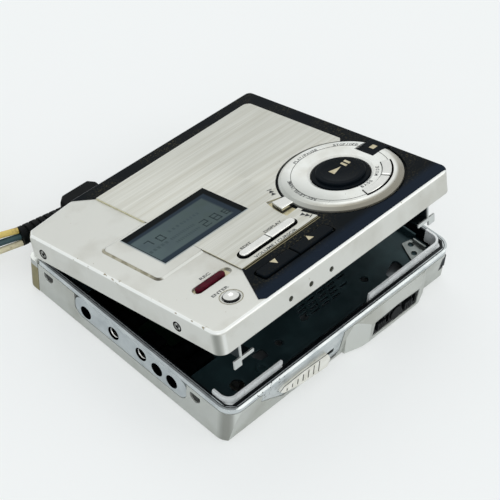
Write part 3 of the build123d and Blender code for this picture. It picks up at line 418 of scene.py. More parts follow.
# %% Metals and lacquers
PLATE, SMOOTH_PLATE = (2.5, 0.05, 0.2), (5.0, 0.02, 0.2)  # the broad waves of plated surfaces
chrome = finish("chrome_plate", "#F4F6F5", "#DEE2E0", 5.0, 0.24, 0.14, PLATE, Metallic=0.2)
key_chrome = finish("chrome_sleeve_plate", "#E2E2DF", "#BDBEBA", 4.0, 0.14, 0.16, SMOOTH_PLATE, Metallic=1.0)
deck_steel = finish("dark_coated_steel", "#24363A", "#2F4448", 7.0, 0.36, 0.16, SHEET, Metallic=0.55)
tray_steel = finish("bare_sheet_steel", "#9AA09E", "#7D8381", 6.0, 0.3, 0.18, SHEET, Metallic=0.8)
shaft_steel = finish("turned_steel", "#A6ABAC", "#8B9091", 3.0, 0.26, 0.12, (0.3, 0.01, 0.4), Metallic=0.9)
screw_dark = finish("blackened_screw", "#24251F", "#151612", 0.6, 0.35, 0.1, (0.3, 0.02, 0.3), Metallic=0.6)
cell_can = finish("cell_can_nickel", "#A7ACB0", "#959A9E", 6.0, 0.34, 0.12, TOOTH, Metallic=0.8)
panel_lacquer = finish("socket_panel_lacquer", "#C3C9CA", "#AEB5B7", 5.0, 0.3, 0.14, LACQUER, Metallic=0.5)
print("metals", chrome.name, "to", panel_lacquer.name)

# %% [markdown]
# The display window is grey glass over a reflective cell. The cell lies deep
# under the glass, so its printed frame looks wide at the far and right sides
# and narrow at the others, with a painted bluish shadow inside it. The glass's
# near and left edges carry a painted highlight. All of it is painted on the one
# flat face of the CAD block, by steps along the lid's own axes.

# %% Display window
WINDOW_X = (-32.5, -1.5)
WINDOW_Y = (-6.8, 11.6)
WINDOW_Z = 21.35
FRAME_FAR_Y, FRAME_RIGHT_X = 9.2, -3.5
SHADE_FAR_Y, SHADE_RIGHT_X, SHADE_NEAR_Y = 7.9, -5.4, -4.6
GLASS_EDGE = 0.3  # the glass's edge at the near and left sides, a painted highlight


def display_glass():
    material, tree, shader = start("display_glass", "#4C595A", 0.1, Specular_IOR_Level=0.03)
    places = axes_of(tree, LID_REST)
    x, y = places["X"], places["Y"]
    cell_tone = tinted(tree, "#566465", "#46524F", above(tree, x, -16, 30))
    clouded = tinted(tree, cell_tone, "#4E5A5E", blotches(tree, 5.0, 0.4, 0.7, (0.0, 0.7)))
    far_right = above(tree, y, SHADE_FAR_Y, 0.6), above(tree, x, SHADE_RIGHT_X, 0.8)
    inner = any_of(tree, *far_right, below(tree, y, SHADE_NEAR_Y, 0.5))
    shaded = tinted(tree, clouded, "#2A353F", inner)
    frame_mask = any_of(tree, above(tree, y, FRAME_FAR_Y, 0.5), above(tree, x, FRAME_RIGHT_X, 0.5))
    framed = tinted(tree, shaded, "#0A0F11", frame_mask)
    near = [below(tree, y, WINDOW_Y[0] + 2 * GLASS_EDGE), below(tree, x, WINDOW_X[0] + 2 * GLASS_EDGE)]
    lined = tinted(tree, framed, "#10181B", any_of(tree, *near))
    # a painted highlight along the glass's near and left edges
    rim = [below(tree, y, WINDOW_Y[0] + GLASS_EDGE), below(tree, x, WINDOW_X[0] + GLASS_EDGE)]
    edge_glint = tinted(tree, lined, "#A8AFAE", any_of(tree, *rim))
    tree.links.new(edge_glint, shader.inputs["Base Color"])
    return material


window_glass = display_glass()
print("window", WINDOW_X[1] - WINDOW_X[0], "by", WINDOW_Y[1] - WINDOW_Y[0], "mm")

# %% [markdown]
# The disc holder is pressed steel in a dark coat. Only the two tabs at its
# front are bare and bright, where the coat has been left off for the latch.

# %% Disc holder
TAB_X, TAB_Y = 32.5, -36.7  # a tab is beyond both, on either side


def holder_steel():
    material, tree, shader = start("coated_holder_steel", "#1B2326", 0.4, Metallic=0.6)
    places = axes_of(tree, HOLDER_REST)
    side = any_of(tree, above(tree, places["X"], TAB_X), below(tree, places["X"], -TAB_X))
    bare = all_of(tree, side, below(tree, places["Y"], TAB_Y, 0.1))
    coated = tinted(tree, "#1B2326", "#293437", blotches(tree, 6.0, 0.42, 0.72))
    tabbed = tinted(tree, coated, "#C9CCC9", bare)
    coat(tree, shader, tabbed, (2.4, 0.3, 0.75, (0.26, 0.42)), (0.3, 0.02, 0.4))
    return material


holder_finish = holder_steel()
print("bare in front of", TAB_Y, "mm")

# %% [markdown]
# The small keys are chrome plated on top only. Below a height their sides are
# painted near black, and with the gap round them they draw the dark outline of each
# key. The arc keys stand higher than the others, so the line on their sides is higher too.

# %% Plated keys
LOW_LINE_Z, ARC_LINE_Z = 21.55, 22.62


def plated_key(name, line_z):
    """Chrome above a height in the shut lid, near black below it."""
    material, tree, shader = start(name, "#DEDEDA", 0.16)
    plated = above(tree, axes_of(tree, LID_REST)["Z"], line_z, 0.05)
    plate = tinted(tree, "#E8E8E5", "#CFD0CD", blotches(tree, 5.0, 0.3, 0.95))
    tree.links.new(plated, shader.inputs["Metallic"])
    whole = tinted(tree, "#0B0E10", plate, plated)
    coat(tree, shader, whole, (3.0, 0.3, 0.9, (0.16, 0.24)), (6.0, 0.02, 0.08))
    return material


low_keys = plated_key("plated_low_keys", LOW_LINE_Z)
arc_keys = plated_key("plated_arc_keys", ARC_LINE_Z)
print("plated keys", low_keys.name, arc_keys.name)

# %% [markdown]
# The release slider is ivory lacquer. Its ridges and the gap round it are
# painted shade, a little behind its face, so a narrow span along Y picks the shaded places.

# %% Release slider
RIDGE_SHADE_Y = (-41.16, -40.98)  # the ridges are cut to the middle of this


def ivory_slider():
    material, tree, shader = start("ivory_lacquer", "#EFEDE4", 0.24, Metallic=0.1)
    lacquer = tinted(tree, "#EFEDE4", "#DEDBCE", blotches(tree, 3.0, 0.4, 0.7))
    y = axes_of(tree)["Y"]
    ends = above(tree, y, RIDGE_SHADE_Y[0], 0.04), below(tree, y, RIDGE_SHADE_Y[1], 0.04)
    ridge_shaded = tinted(tree, lacquer, "#3A3A37", all_of(tree, *ends))
    coat(tree, shader, ridge_shaded, None, LACQUER)
    return material


slider_finish = ivory_slider()
print("ridges dark at", RIDGE_SHADE_Y, "mm")

# %% [markdown]
# The lid's two side screws are bright zinc, and the three tiny front ones are
# blackened. They are one CAD part, and a step on Y parts the two kinds.

# %% Lid screws
FRONT_SCREWS_Y = -38.95


def lid_screw_metal():
    material, tree, shader = start("zinc_and_black_screws", "#B9BAB6", 0.3, Metallic=0.9)
    zinc = tinted(tree, "#C4C5C1", "#94958F", blotches(tree, 0.8, 0.4, 0.7))
    front = below(tree, axes_of(tree, LID_REST)["Y"], FRONT_SCREWS_Y, 0.05)
    coat(tree, shader, tinted(tree, zinc, "#35362B", front), None, (0.5, 0.02, 0.3))
    return material


lid_screw_finish = lid_screw_metal()
print("front screws before", FRONT_SCREWS_Y, "mm")

# %% [markdown]
# The rim is plastic with a bright bluish silver plate. The plate ends just
# inside its edge, where black plastic begins, and it is chipped beside the front
# left corner. The inside is a rectangle with its front corners cut off, so three
# steps find it.

# %% Rim plate
CHIPPED_X, CHIPPED_Y, CHIPPED_Z = (-36.0, -24.5), -40.3, 9.4
PLATED_X, PLATED_Y, PLATED_CORNER = 43.85, -39.75, 81.5  # the plate ends inside these


def rim_plate():
    material, tree, shader = start("rim_plate", "#D6DADA", 0.18, Metallic=0.55)
    plate = tinted(tree, "#CED3D3", "#AEB5B7", blotches(tree, 6.0, 0.42, 0.72))
    places = axes_of(tree)
    box = [above(tree, places["X"], CHIPPED_X[0], 2.0), below(tree, places["X"], CHIPPED_X[1], 2.0)]
    box += [below(tree, places["Y"], CHIPPED_Y, 0.3), above(tree, places["Z"], CHIPPED_Z, 1.0)]
    chips = all_of(tree, *box, blotches(tree, 0.8, 0.59, 0.63))
    aside = add(tree, "Math", {"operation": "ABSOLUTE"}, None, {0: places["X"]}).outputs[0]
    slant = combined(tree, "SUBTRACT", aside, places["Y"])
    inside = [below(tree, aside, PLATED_X), above(tree, places["Y"], PLATED_Y)]
    inside.append(below(tree, slant, PLATED_CORNER))
    lined = tinted(tree, plate, "#121619", all_of(tree, *inside))
    chipped = tinted(tree, lined, "#23261F", chips)
    coat(tree, shader, chipped, (2.4, 0.3, 0.75, (0.14, 0.28)), (2.0, 0.03, 0.25))
    return material


rim_finish = rim_plate()
print("rim black inside", PLATED_X, "mm")

# %% [markdown]
# The dial has a satin silver lacquer. Its flat face is painted darker towards the
# left, and its sloping edge greyer, most at the near side: both are painted
# reflection. The edge is found by its distance from the dial's middle.

# %% Dial lacquer
DIAL = Vector((24.8, -17.0))
SLOPE_R = 15.7  # the dial's face slopes down outside this
SHADED_X, SLOPE_SHADE_Y = DIAL.x - 11.5, DIAL.y - 5  # painted reflection: darker left of one, greyer on the slope in front of the other


def dial_lacquer():
    material, tree, shader = start("dial_lacquer", "#DEDFD9", 0.27, Metallic=0.5)
    places = axes_of(tree, LID_REST)
    flat = add(tree, "CombineXYZ", links={"X": places["X"], "Y": places["Y"]}).outputs["Vector"]
    middle = {1: (DIAL.x * MM, DIAL.y * MM, 0)}
    away = add(tree, "VectorMath", {"operation": "DISTANCE"}, middle, {0: flat}).outputs["Value"]
    face = tinted(tree, "#ECEDE8", "#DDDCD4", blotches(tree, 6.0, 0.42, 0.72))
    # painted reflection: darker towards the left, greyer on the near slope
    left = tinted(tree, face, "#B4B6B0", below(tree, places["X"], SHADED_X, 8.0))
    slope_shaded = above(tree, away, SLOPE_R, 0.8), below(tree, places["Y"], SLOPE_SHADE_Y, 14.0)
    greyed = tinted(tree, left, "#8F8B7E", all_of(tree, *slope_shaded))
    coat(tree, shader, greyed, (2.4, 0.3, 0.75, (0.27, 0.39)), FINE_TOOTH)
    return material


ring_lacquer = dial_lacquer()
print("dial slopes outside", SLOPE_R, "mm")

# %% [markdown]
# The rear strip is painted olive, as shade on it, up to a bright plated edge. It is
# one CAD part, so its finish changes with height: a step on Z picks one or the other.

# %% Rear strip
TAN_TOP = 9.7


def rear_strip():
    material, tree, shader = start("plated_rear_strip", "#8F8762", 0.3, Metallic=0.35)
    plated = above(tree, axes_of(tree)["Z"], TAN_TOP, 0.2)
    shaded_olive = tinted(tree, "#8F8762", "#7C744F", blotches(tree, 5.0, 0.4, 0.7))
    tree.links.new(ranged(tree, plated, 0.0, 1.0, (0.35, 1.0)), shader.inputs["Metallic"])
    whole = tinted(tree, shaded_olive, "#BFC2BF", plated)
    coat(tree, shader, whole, (2.0, 0.3, 0.75, (0.34, 0.48)), (2.0, 0.06, 0.25))
    return material


strip_finish = rear_strip()
print("plated above", TAN_TOP, "mm")

# %% [markdown]
# The lead is three thin separate wires. Each leaves the ribbed relief on its
# own path, sinks to the table and is wound in one neat coil, two layers to a
# wire: in along the first, up through the eye, and out along the second. A
# NURBS spline carries each wire, with the CAD route as its control points.

# %% Wire sizes and routes
WIRE_D = 1.9
COIL_AT = (-49.0, 82.0)
COIL_OUT = 16.9 - WIRE_D / 2
COIL_IN = 5.2 + WIRE_D / 2
TURNS = 5.0
STEPS = 14  # points to a turn
CLIMB_TURN = 150.0  # degrees of the ramp between the two layers
CLIMB_R = 4.3
TAIL_END = -52.0  # where the wires come on top, in degrees
TOP_Z = 12.6
CONNECTOR_IN = (4.6, 2.6)  # the last two points, from the coil's middle along X
CONNECTOR_BACK, CONNECTOR_RISE = 11.0, 0.4
RAMP_STEPS, TAIL_STEPS = 6, 5
ROUTES = {
    "yellow": [
        (-39.4, 50.15, 9.6), (-45.4, 52.8, 9.2), (-51.0, 56.7, 7.4), (-55.6, 61.6, 5.6), (-58.8, 67.2, 4.8),
    ],
    "teal": [
        (-39.4, 49.2, 7.9), (-45.8, 51.6, 7.5), (-51.8, 55.4, 5.3), (-57.0, 60.1, 3.5), (-60.9, 66.2, 2.8),
    ],
    "cream": [
        (-39.4, 48.2, 6.2), (-46.1, 50.5, 5.6), (-52.7, 54.1, 3.3), (-58.7, 58.9, 1.2), (-63.4, 65.5, 0.95),
        (-66.0, 73.0, 0.95),
    ],
}
ENTRY = {"yellow": (220.0, 2), "teal": (206.0, 1), "cream": (182.0, 0)}  # angle and first layer
TAIL_R = {"yellow": 10.6, "teal": 12.4, "cream": 14.3}
CONNECTOR_Y = {"yellow": 2.1, "teal": 0.0, "cream": -2.1}
print("coil", 2 * (COIL_OUT + WIRE_D / 2), "mm across")

# %% [markdown]
# A coil's turns are worked out, not drawn: a point goes round the coil's middle
# while its radius shrinks by one wire for each turn. A short ramp joins the two
# layers in the eye, and the tail goes over the top to the connector.

# %% Wind the coil


def coil_point(degrees, radius, z):
    turn = math.radians(degrees)
    return (COIL_AT[0] + radius * math.cos(turn), COIL_AT[1] + radius * math.sin(turn), z)


def layer_of(angle, first_r, last_r, z):
    """One flat layer of turns, from a radius to another."""
    count = int(TURNS * STEPS)
    shares = [step / count for step in range(count + 1)]
    return [coil_point(angle - 360 * TURNS * s, first_r + (last_r - first_r) * s, z) for s in shares]


def wound(name):
    """The coil's part of a wire: layer in, ramp up, layer out, and over the top."""
    angle, layer = ENTRY[name]
    low, high = WIRE_D * (layer + 0.5), WIRE_D * (layer + 3.5)
    points = layer_of(angle, COIL_OUT, COIL_IN, low)
    for step in range(1, RAMP_STEPS):
        share = step / RAMP_STEPS
        radius = COIL_IN + (CLIMB_R - COIL_IN) * math.sin(math.pi * share)
        points.append(coil_point(angle - CLIMB_TURN * share, radius, low + (high - low) * share))
    angle -= CLIMB_TURN
    points += layer_of(angle, COIL_IN, COIL_OUT, high)
    for step in range(1, TAIL_STEPS + 1):
        share = step / TAIL_STEPS
        radius = COIL_OUT + (TAIL_R[name] - COIL_OUT) * share
        rise = math.sin(share * math.pi / 2)
        points.append(coil_point(angle + (TAIL_END - angle) * share, radius, high + (TOP_Z - high) * rise))
    side = COIL_AT[1] - CONNECTOR_BACK + CONNECTOR_Y[name]
    points += [(COIL_AT[0] + along, side, TOP_Z + CONNECTOR_RISE) for along in CONNECTOR_IN]
    return points


def wire(name, points, material):
    curve = bpy.data.curves.new(f"{name}_wire", "CURVE")
    curve.dimensions = "3D"
    curve.bevel_depth = WIRE_D / 2 * MM
    curve.bevel_resolution = 3
    curve.resolution_u = 5
    curve.use_fill_caps = True
    spline = curve.splines.new("NURBS")
    spline.points.add(len(points) - 1)
    for spot, point in zip(spline.points, points):
        spot.co = (*(Vector(point) * MM), 1)
    spline.order_u = 3
    spline.use_endpoint_u = True
    curve.materials.append(material)
    return in_scene(f"{name}_wire", curve)


print("points in a wound wire", len(wound("teal")))

# %% [markdown]
# The jackets are soft PVC in three colours, dull and slightly greasy. Handling
# has left brown smudges, strongest on the yellow one.

# %% Wire jackets


def jacket(name, colour, smudge, amount):
    material, tree, shader = start(f"{name}_pvc", colour, 0.42)
    smudged = tinted(tree, colour, smudge, blotches(tree, 2.4, 0.52, 0.68, (0.0, amount)))
    coat(tree, shader, smudged, None, LACQUER, edge=0)
    return material


jackets = {
    "yellow": jacket("yellow", "#D9BF68", "#6B4A22", 0.75),
    "teal": jacket("teal", "#27474C", "#15292D", 0.5),
    "cream": jacket("cream", "#D6CDAB", "#8C7B55", 0.6),
}
print("jackets", list(jackets))

# %% [markdown]
# A flat black band holds the coil together. It is one closed loop of a thin
# strip round the coil's section: two rectangles are bridged, the corners are
# bevelled round, and solidify gives the strip its thickness.

# %% Coil band
BAND_ANGLE = 120.0  # where it crosses the coil, in degrees
BAND_HALF = 1.6  # half its width
BAND_T = 0.45
BAND_ROUND = 1.2
BAND_CLEAR = 1.1  # from the middle of the outer and inner turns to the band
BAND_FOOT, BAND_TOP = 0.1, WIRE_D * 6 + 0.15


def coil_band():
    mesh = bmesh.new()
    inner, outer = COIL_IN - BAND_CLEAR, COIL_OUT + BAND_CLEAR
    section = [(inner, BAND_FOOT), (outer, BAND_FOOT), (outer, BAND_TOP), (inner, BAND_TOP)]
    turn = math.radians(BAND_ANGLE)
    along = Vector((math.cos(turn), math.sin(turn), 0))
    across = Vector((-math.sin(turn), math.cos(turn), 0))
    middle = Vector((*COIL_AT, 0))
    loops = []
    for side in (-BAND_HALF, BAND_HALF):
        spots = [middle + along * r + across * side + Vector((0, 0, z)) for r, z in section]
        loops.append([mesh.verts.new(spot * MM) for spot in spots])
    edges = [mesh.edges.new((loop[i], loop[i - 1])) for loop in loops for i in range(4)]
    bmesh.ops.bridge_loops(mesh, edges=edges)
    corners = [e for e in mesh.edges if abs((e.verts[0].co - e.verts[1].co).dot(across)) > BAND_HALF * MM]
    round_it = {"segments": 4, "profile": 0.5, "affect": "EDGES", "material": -1}
    bmesh.ops.bevel(mesh, geom=corners, offset=BAND_ROUND * MM, **round_it)
    bmesh.ops.recalc_face_normals(mesh, faces=mesh.faces)
    bmesh.ops.solidify(mesh, geom=mesh.faces, thickness=-BAND_T * MM)
    return mesh


def piece_from(mesh, name, material, body):
    """Turns a finished bmesh into a piece that rides on a body."""
    data = bpy.data.meshes.new(name)
    mesh.to_mesh(data)
    mesh.free()
    data.materials.append(material)
    data.polygons.foreach_set("use_smooth", [False] * len(data.polygons))
    piece = in_scene(name, data)
    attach(piece, body)
    return piece


band = piece_from(coil_band(), "coil_band", plug_rubber, "base")
print("band faces", len(band.data.polygons))

# %% [markdown]
# Each wire is a spline along its route and its coil. It rides on the base,
# and the CAD solids of the wires are hidden.

# %% Lay the wires
SOLIDS = {"yellow": ["wire_yellow"], "teal": ["wire_teal", "wire_coil"], "cream": ["wire_cream"]}
for name, route in ROUTES.items():
    piece = wire(name, route + wound(name), jackets[name])
    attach(piece, "base")
    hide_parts(*SOLIDS[name])
print("wires", list(ROUTES))

# %% [markdown]
# Most CAD parts only need the right finish. One table names the parts of each
# finish, and a loop puts it on them. Every face of a part is smooth or flat
# already, as its normals came from the CAD surface.

# %% Dress the CAD parts
DRESS = {
    lid_paint: "lid_shell",
    base_paint: "bottom_cover battery_door",
    plate_metal: "brushed_plate",
    panel_black: "black_panel",
    key_black: "play_button stop_button volume_down_button volume_up_button",
    moulded_black: "dock_socket strap_eyelet turntable",
    switch_black: "hold_switch tone_switch",
    bezel_black: "switch_bezel",
    # painted shade: the sockets' parts are near black
    gap_shadow: "dc_jack mini_jacks",
    tray_black: "lid_inner_plate",
    plug_rubber: "plug_body plug_relief",
    chip_black: "board_chips",
    chrome: "guide_lips",
    low_keys: "skip_lever enter_button edit_button display_button",
    arc_keys: "bass_button mode_button",
    lid_screw_finish: "lid_screws",
    screw_dark: "base_screws",
    deck_steel: "chassis_plate",
    holder_finish: "disc_holder",
    tray_steel: "corner_bracket latch_slide record_head",
    shaft_steel: "hinge_pins hinge_spring latch_spring battery_spring "
    "lead_screw sled_motor guide_rod spindle_motor",
    cell_can: "battery",
    ring_lacquer: "dial_ring",
    rim_finish: "rim_frame",
    panel_lacquer: "jack_panel",
    slider_finish: "open_slider",
    record_red: "record_slider",
    strip_finish: "rear_panel",
    board_green: "main_board lid_board",
    housing_nylon: "wire_connector",
    optic_black: "optical_pickup",
    window_glass: "lcd_glass",
    recess_grime: "lcd_module",
}
dressed = []
for material, names in DRESS.items():
    for name in names.split():
        nodes[name].data.materials.clear()
        nodes[name].data.materials.append(material)
        dressed.append(name)
wires_only = {"wire_yellow", "wire_teal", "wire_cream", "wire_coil"}
print("dressed", len(dressed), "left", sorted(set(nodes) - set(dressed) - wires_only))

# %% [markdown]
# Printed words are thin solids of ink. A text curve gives the letters, and its
# mesh is stretched to the size that the word has on the object. An image would
# print them too, but ink of real thickness needs no image and stays sharp close
# up. Only plain function words are printed.

# %% Printing
INK_MM = 0.03
BOLD = 0.018  # how far the letters' outlines are pushed out, in letter heights
PAINT_Z, PANEL_Z, PLATE_Z, RING_Z = 21.0, 21.2, 21.3, 22.45


def letters(words, width, height):
    """Words as a flat mesh, width by height millimetres, centred on the origin."""
    curve = bpy.data.curves.new("letters", "FONT")
    curve.body = words
    curve.extrude = INK_MM / 2
    curve.offset = BOLD
    holder = bpy.data.objects.new("letters", curve)
    mesh = bmesh.new()
    mesh.from_mesh(bpy.data.meshes.new_from_object(holder))
    bpy.data.objects.remove(holder)
    xs = [v.co.x for v in mesh.verts]
    ys = [v.co.y for v in mesh.verts]
    middle = Vector(((min(xs) + max(xs)) / 2, (min(ys) + max(ys)) / 2, 0))
    bmesh.ops.translate(mesh, verts=mesh.verts, vec=-middle)
    size = (width / (max(xs) - min(xs)), height / (max(ys) - min(ys)), 1)
    bmesh.ops.scale(mesh, verts=mesh.verts, vec=size)
    return mesh


def shape(outline):
    """A filled outline in millimetres, one ink layer thick."""
    mesh = bmesh.new()
    face = mesh.faces.new([mesh.verts.new((x, y, -INK_MM / 2)) for x, y in outline])
    raised = bmesh.ops.extrude_face_region(mesh, geom=[face])
    top = [v for v in raised["geom"] if isinstance(v, bmesh.types.BMVert)]
    bmesh.ops.translate(mesh, verts=top, vec=(0, 0, INK_MM))
    bmesh.ops.recalc_face_normals(mesh, faces=mesh.faces)
    return mesh


print("ink", INK_MM, "mm thick")

# %% [markdown]
# A mark is drawn flat, in millimetres. One matrix scales it to metres, puts it
# in its place on the shut lid and opens it with the lid. Small marks of a kind
# are joined in one mesh, so that they are one piece.

# %% Laying marks on the lid


def placed(mesh, place, opening=lid_turn):
    """Takes a mesh drawn in millimetres to its place, and opens it with its part."""
    bmesh.ops.transform(mesh, matrix=opening @ Matrix.Scale(MM, 4) @ place, verts=mesh.verts)
    return mesh


def laid(mesh, z, at=(0, 0), turn=0.0):
    """Takes a flat mesh to a height and place on the lid, turned about its middle by an angle."""
    return placed(mesh, Matrix.Translation((*at, z)) @ Matrix.Rotation(math.radians(turn), 4, "Z"))


def joined(meshes):
    """Several small meshes in one, so that a row of marks is one piece."""
    whole = bmesh.new()
    for mesh in meshes:
        part = bpy.data.meshes.new("part")
        mesh.to_mesh(part)
        mesh.free()
        whole.from_mesh(part)
        bpy.data.meshes.remove(part)
    return whole


print("paint at", PAINT_Z, "plate at", PLATE_Z, "mm")

# %% [markdown]
# The straight words lie beside their keys, on the brushed plate and the paint.
# They are alike but for their letters, so a table and a loop make them.

# %% Straight words
WORDS = [  # words, middle, height of what they are printed on, width, height
    ("EDIT", (-14.3, -18.5), PLATE_Z, 3.7, 0.95),
    ("DISPLAY", (-3.9, -18.3), PLATE_Z, 6.4, 0.95),
    ("VOLUME / CURSOR", (-8.9, -24.3), PLATE_Z, 15.6, 1.0),
    ("REC", (-29.8, -18.9), PAINT_Z, 3.5, 1.0),
    ("ENTER", (-32.1, -26.9), PAINT_Z, 5.6, 1.0),
]
printed = [laid(letters(word, width, high), z, at) for word, at, z, width, high in WORDS]
piece_from(joined(printed), "printed_words", ink_black, "lid")
print("words", len(WORDS))

# %% [markdown]
# The words on the dial follow its edge, letter by letter, their feet towards
# the middle. Each letter is turned by its own angle, as a printing plate for a
# round dial would have it.

# %% Words round the dial
DIAL_WORDS = [  # words, radius, first and last angle in degrees
    ("PLAY/PAUSE", 14.55, 104.0, 71.0),
    ("STOP/OFF", 14.55, 49.0, 23.5),
    ("REC LEVEL/NAME", 14.45, 193.0, 143.0),
    ("BASS", 10.1, -102.0, -83.0),
    ("MODE", 10.2, -64.0, -42.0),
]
PLAIN_LETTER = (0.78, 0.95)  # width and height
LETTER_SIZE = {"I": (0.25, 1.0), "/": (0.5, 1.05), "M": (0.95, 0.95)}


def round_the_dial(words, radius, first, last):
    out = 1 if first > last else -1  # below the middle, the letters stand the other way up
    pieces = []
    for index, letter in enumerate(words):
        if letter == " ":
            continue
        angle = first + (last - first) * index / (len(words) - 1)
        spot = DIAL + Vector((math.cos(math.radians(angle)), math.sin(math.radians(angle)))) * radius
        size = LETTER_SIZE.get(letter, PLAIN_LETTER)
        pieces.append(laid(letters(letter, *size), RING_Z, spot, angle - 90 * out))
    return pieces


ring_letters = [piece for row in DIAL_WORDS for piece in round_the_dial(*row)]
print("letters on the dial", len(ring_letters))
piece_from(joined(ring_letters), "dial_words", ink_black, "lid")

# %% [markdown]
# The signs are plain triangles, bars and a square in cream ink. Each rides on
# its own key. The play key is dished, so the signs on it are cut up finely and
# bent down: each corner is lowered to the sphere below it.

# %% Signs on the keys
DISH_CENTRE_Z, DISH_R = 63.0, 40.3
STOP_TOP_Z, VOLUME_TOP_Z = 22.1, 21.75
PAUSE_Y = (-16.6, -14.4)


def bar(x, y):
    return [(x[0], y[0]), (x[1], y[0]), (x[1], y[1]), (x[0], y[1])]


def in_the_dish(outline):
    mesh = shape(outline)
    cuts = [edge for edge in mesh.edges if edge.calc_length() > 4 * INK_MM]
    bmesh.ops.subdivide_edges(mesh, edges=cuts, cuts=2)
    for vert in mesh.verts:
        away = (vert.co.xy - DIAL).length
        vert.co.z += DISH_CENTRE_Z - math.sqrt(DISH_R ** 2 - away ** 2)
    return laid(mesh, 0)


play_signs = [
    in_the_dish([(22.7, -16.6), (26.7, -15.5), (22.7, -14.4)]),
    in_the_dish(bar((27.5, 28.3), PAUSE_Y)),
    in_the_dish(bar((28.8, 29.6), PAUSE_Y)),
]
piece_from(joined(play_signs), "play_signs", ink_cream, "play")
FLAT_SIGNS = [  # piece, key, outline, height of the key's top
    ("stop_sign", "stop", bar((39.25, 41.1), (-16.4, -14.7)), STOP_TOP_Z),
    ("volume_down_sign", "volume_down", [(-16.4, -29.3), (-15.4, -31.5), (-14.4, -29.3)], VOLUME_TOP_Z),
    ("volume_up_sign", "volume_up", [(-3.5, -31.2), (-1.5, -31.2), (-2.5, -29.1)], VOLUME_TOP_Z),
]
for name, key, outline, top in FLAT_SIGNS:
    piece_from(laid(shape(outline), top), name, ink_cream, key)
print("signs", len(play_signs) + len(FLAT_SIGNS))

# %% [markdown]
# A skip sign is two triangles against a bar, in black. There is one at each end
# of the skip lever's swing, so the sign is drawn once and laid twice.

# %% Skip signs
SKIP_HALF, SKIP_TALL = 0.75, 1.4  # half the width of a triangle, and its height
SKIP_FEET, SKIP_BAR_Y = (-1.75, -0.35), (1.1, 1.4)


def skip_sign(at, turn):
    """Two triangles against a bar, pointing along +Y before the turn."""
    h = SKIP_HALF
    shapes = [shape([(-h, foot), (h, foot), (0, foot + SKIP_TALL)]) for foot in SKIP_FEET]
    shapes.append(shape(bar((-h, h), SKIP_BAR_Y)))
    return [laid(mesh, PLATE_Z, at, turn) for mesh in shapes]


skip_signs = skip_sign((7.9, -6.3), -20.0) + skip_sign((5.2, -22.3), 197.0)
piece_from(joined(skip_signs), "skip_signs", ink_black, "lid")
print("skip sign shapes", len(skip_signs))

# %% [markdown]
# Gaps between keys and panels are a few tenths of a millimetre wide, too narrow
# to darken in the render, so their shade is painted. Each is a thin band that
# follows a key's outline: the outline is filled, its corners are rounded, an
# inset gives the band its width, and the middle is deleted.

# %% Helpers for bands


def raised_by_ink(mesh):
    """Gives a flat mesh the thickness of one ink layer."""
    lifted = bmesh.ops.extrude_face_region(mesh, geom=mesh.faces[:])
    top = [v for v in lifted["geom"] if isinstance(v, bmesh.types.BMVert)]
    bmesh.ops.translate(mesh, verts=top, vec=(0, 0, INK_MM))
    bmesh.ops.recalc_face_normals(mesh, faces=mesh.faces)
    return mesh


def rounded_edge(outline, rounding, width, rise=0.0):
    """The edge of a filled outline with rounded corners, as a band that may rise inwards."""
    mesh = bmesh.new()
    mesh.faces.new([mesh.verts.new((x, y, 0)) for x, y in outline])
    corner = {"affect": "VERTICES", "segments": 6, "profile": 0.5, "material": -1}
    bmesh.ops.bevel(mesh, geom=mesh.verts[:], offset=rounding, **corner)
    mesh.normal_update()
    # a lone face is all boundary, so without use_boundary nothing would be inset
    inset = {"thickness": width, "depth": rise, "use_boundary": True, "use_even_offset": True}
    kept = bmesh.ops.inset_region(mesh, faces=mesh.faces[:], **inset)["faces"]
    bmesh.ops.delete(mesh, geom=[face for face in mesh.faces if face not in kept], context="FACES")
    return mesh


def cut_off(mesh, point, direction):
    """Cuts off whatever lies past a point in a direction."""
    everything = mesh.verts[:] + mesh.edges[:] + mesh.faces[:]
    bmesh.ops.bisect_plane(mesh, geom=everything, plane_co=point, plane_no=direction, clear_outer=True)


print("bands ready")

# %% [markdown]
# Whatever is round is spun. A short line that turns about a point leaves a flat
# arc, and a closed profile that turns once about Z leaves a ring.

# %% Helpers for arcs and rings


def arc_along(radius, width, first, last, centre=DIAL):
    """A flat arc about a point of the lid, from one angle to another in degrees."""
    mesh = bmesh.new()
    way = Vector((math.cos(math.radians(first)), math.sin(math.radians(first)), 0))
    ends = [mesh.verts.new(Vector((*centre, 0)) + way * r) for r in (radius, radius + width)]
    line = mesh.edges.new(ends)
    turn = {"cent": (*centre, 0), "axis": (0, 0, 1), "angle": math.radians(last - first)}
    bmesh.ops.spin(mesh, geom=[*ends, line], steps=max(4, round(abs(last - first) / 3)), **turn)
    if last - first == 360:
        bmesh.ops.remove_doubles(mesh, verts=mesh.verts, dist=1e-4)
    return raised_by_ink(mesh)


def ring_of(profile, steps=40):
    """A closed profile of (radius, height) points, turned once about Z."""
    mesh = bmesh.new()
    spots = [mesh.verts.new((r, 0, z)) for r, z in profile]
    sides = [mesh.edges.new((spots[i - 1], spots[i])) for i in range(len(spots))]
    turn = {"cent": (0, 0, 0), "axis": (0, 0, 1), "angle": math.tau, "use_merge": True}
    bmesh.ops.spin(mesh, geom=spots + sides, steps=steps, **turn)
    bmesh.ops.recalc_face_normals(mesh, faces=mesh.faces)
    return mesh


print("arcs ready, about", tuple(DIAL))
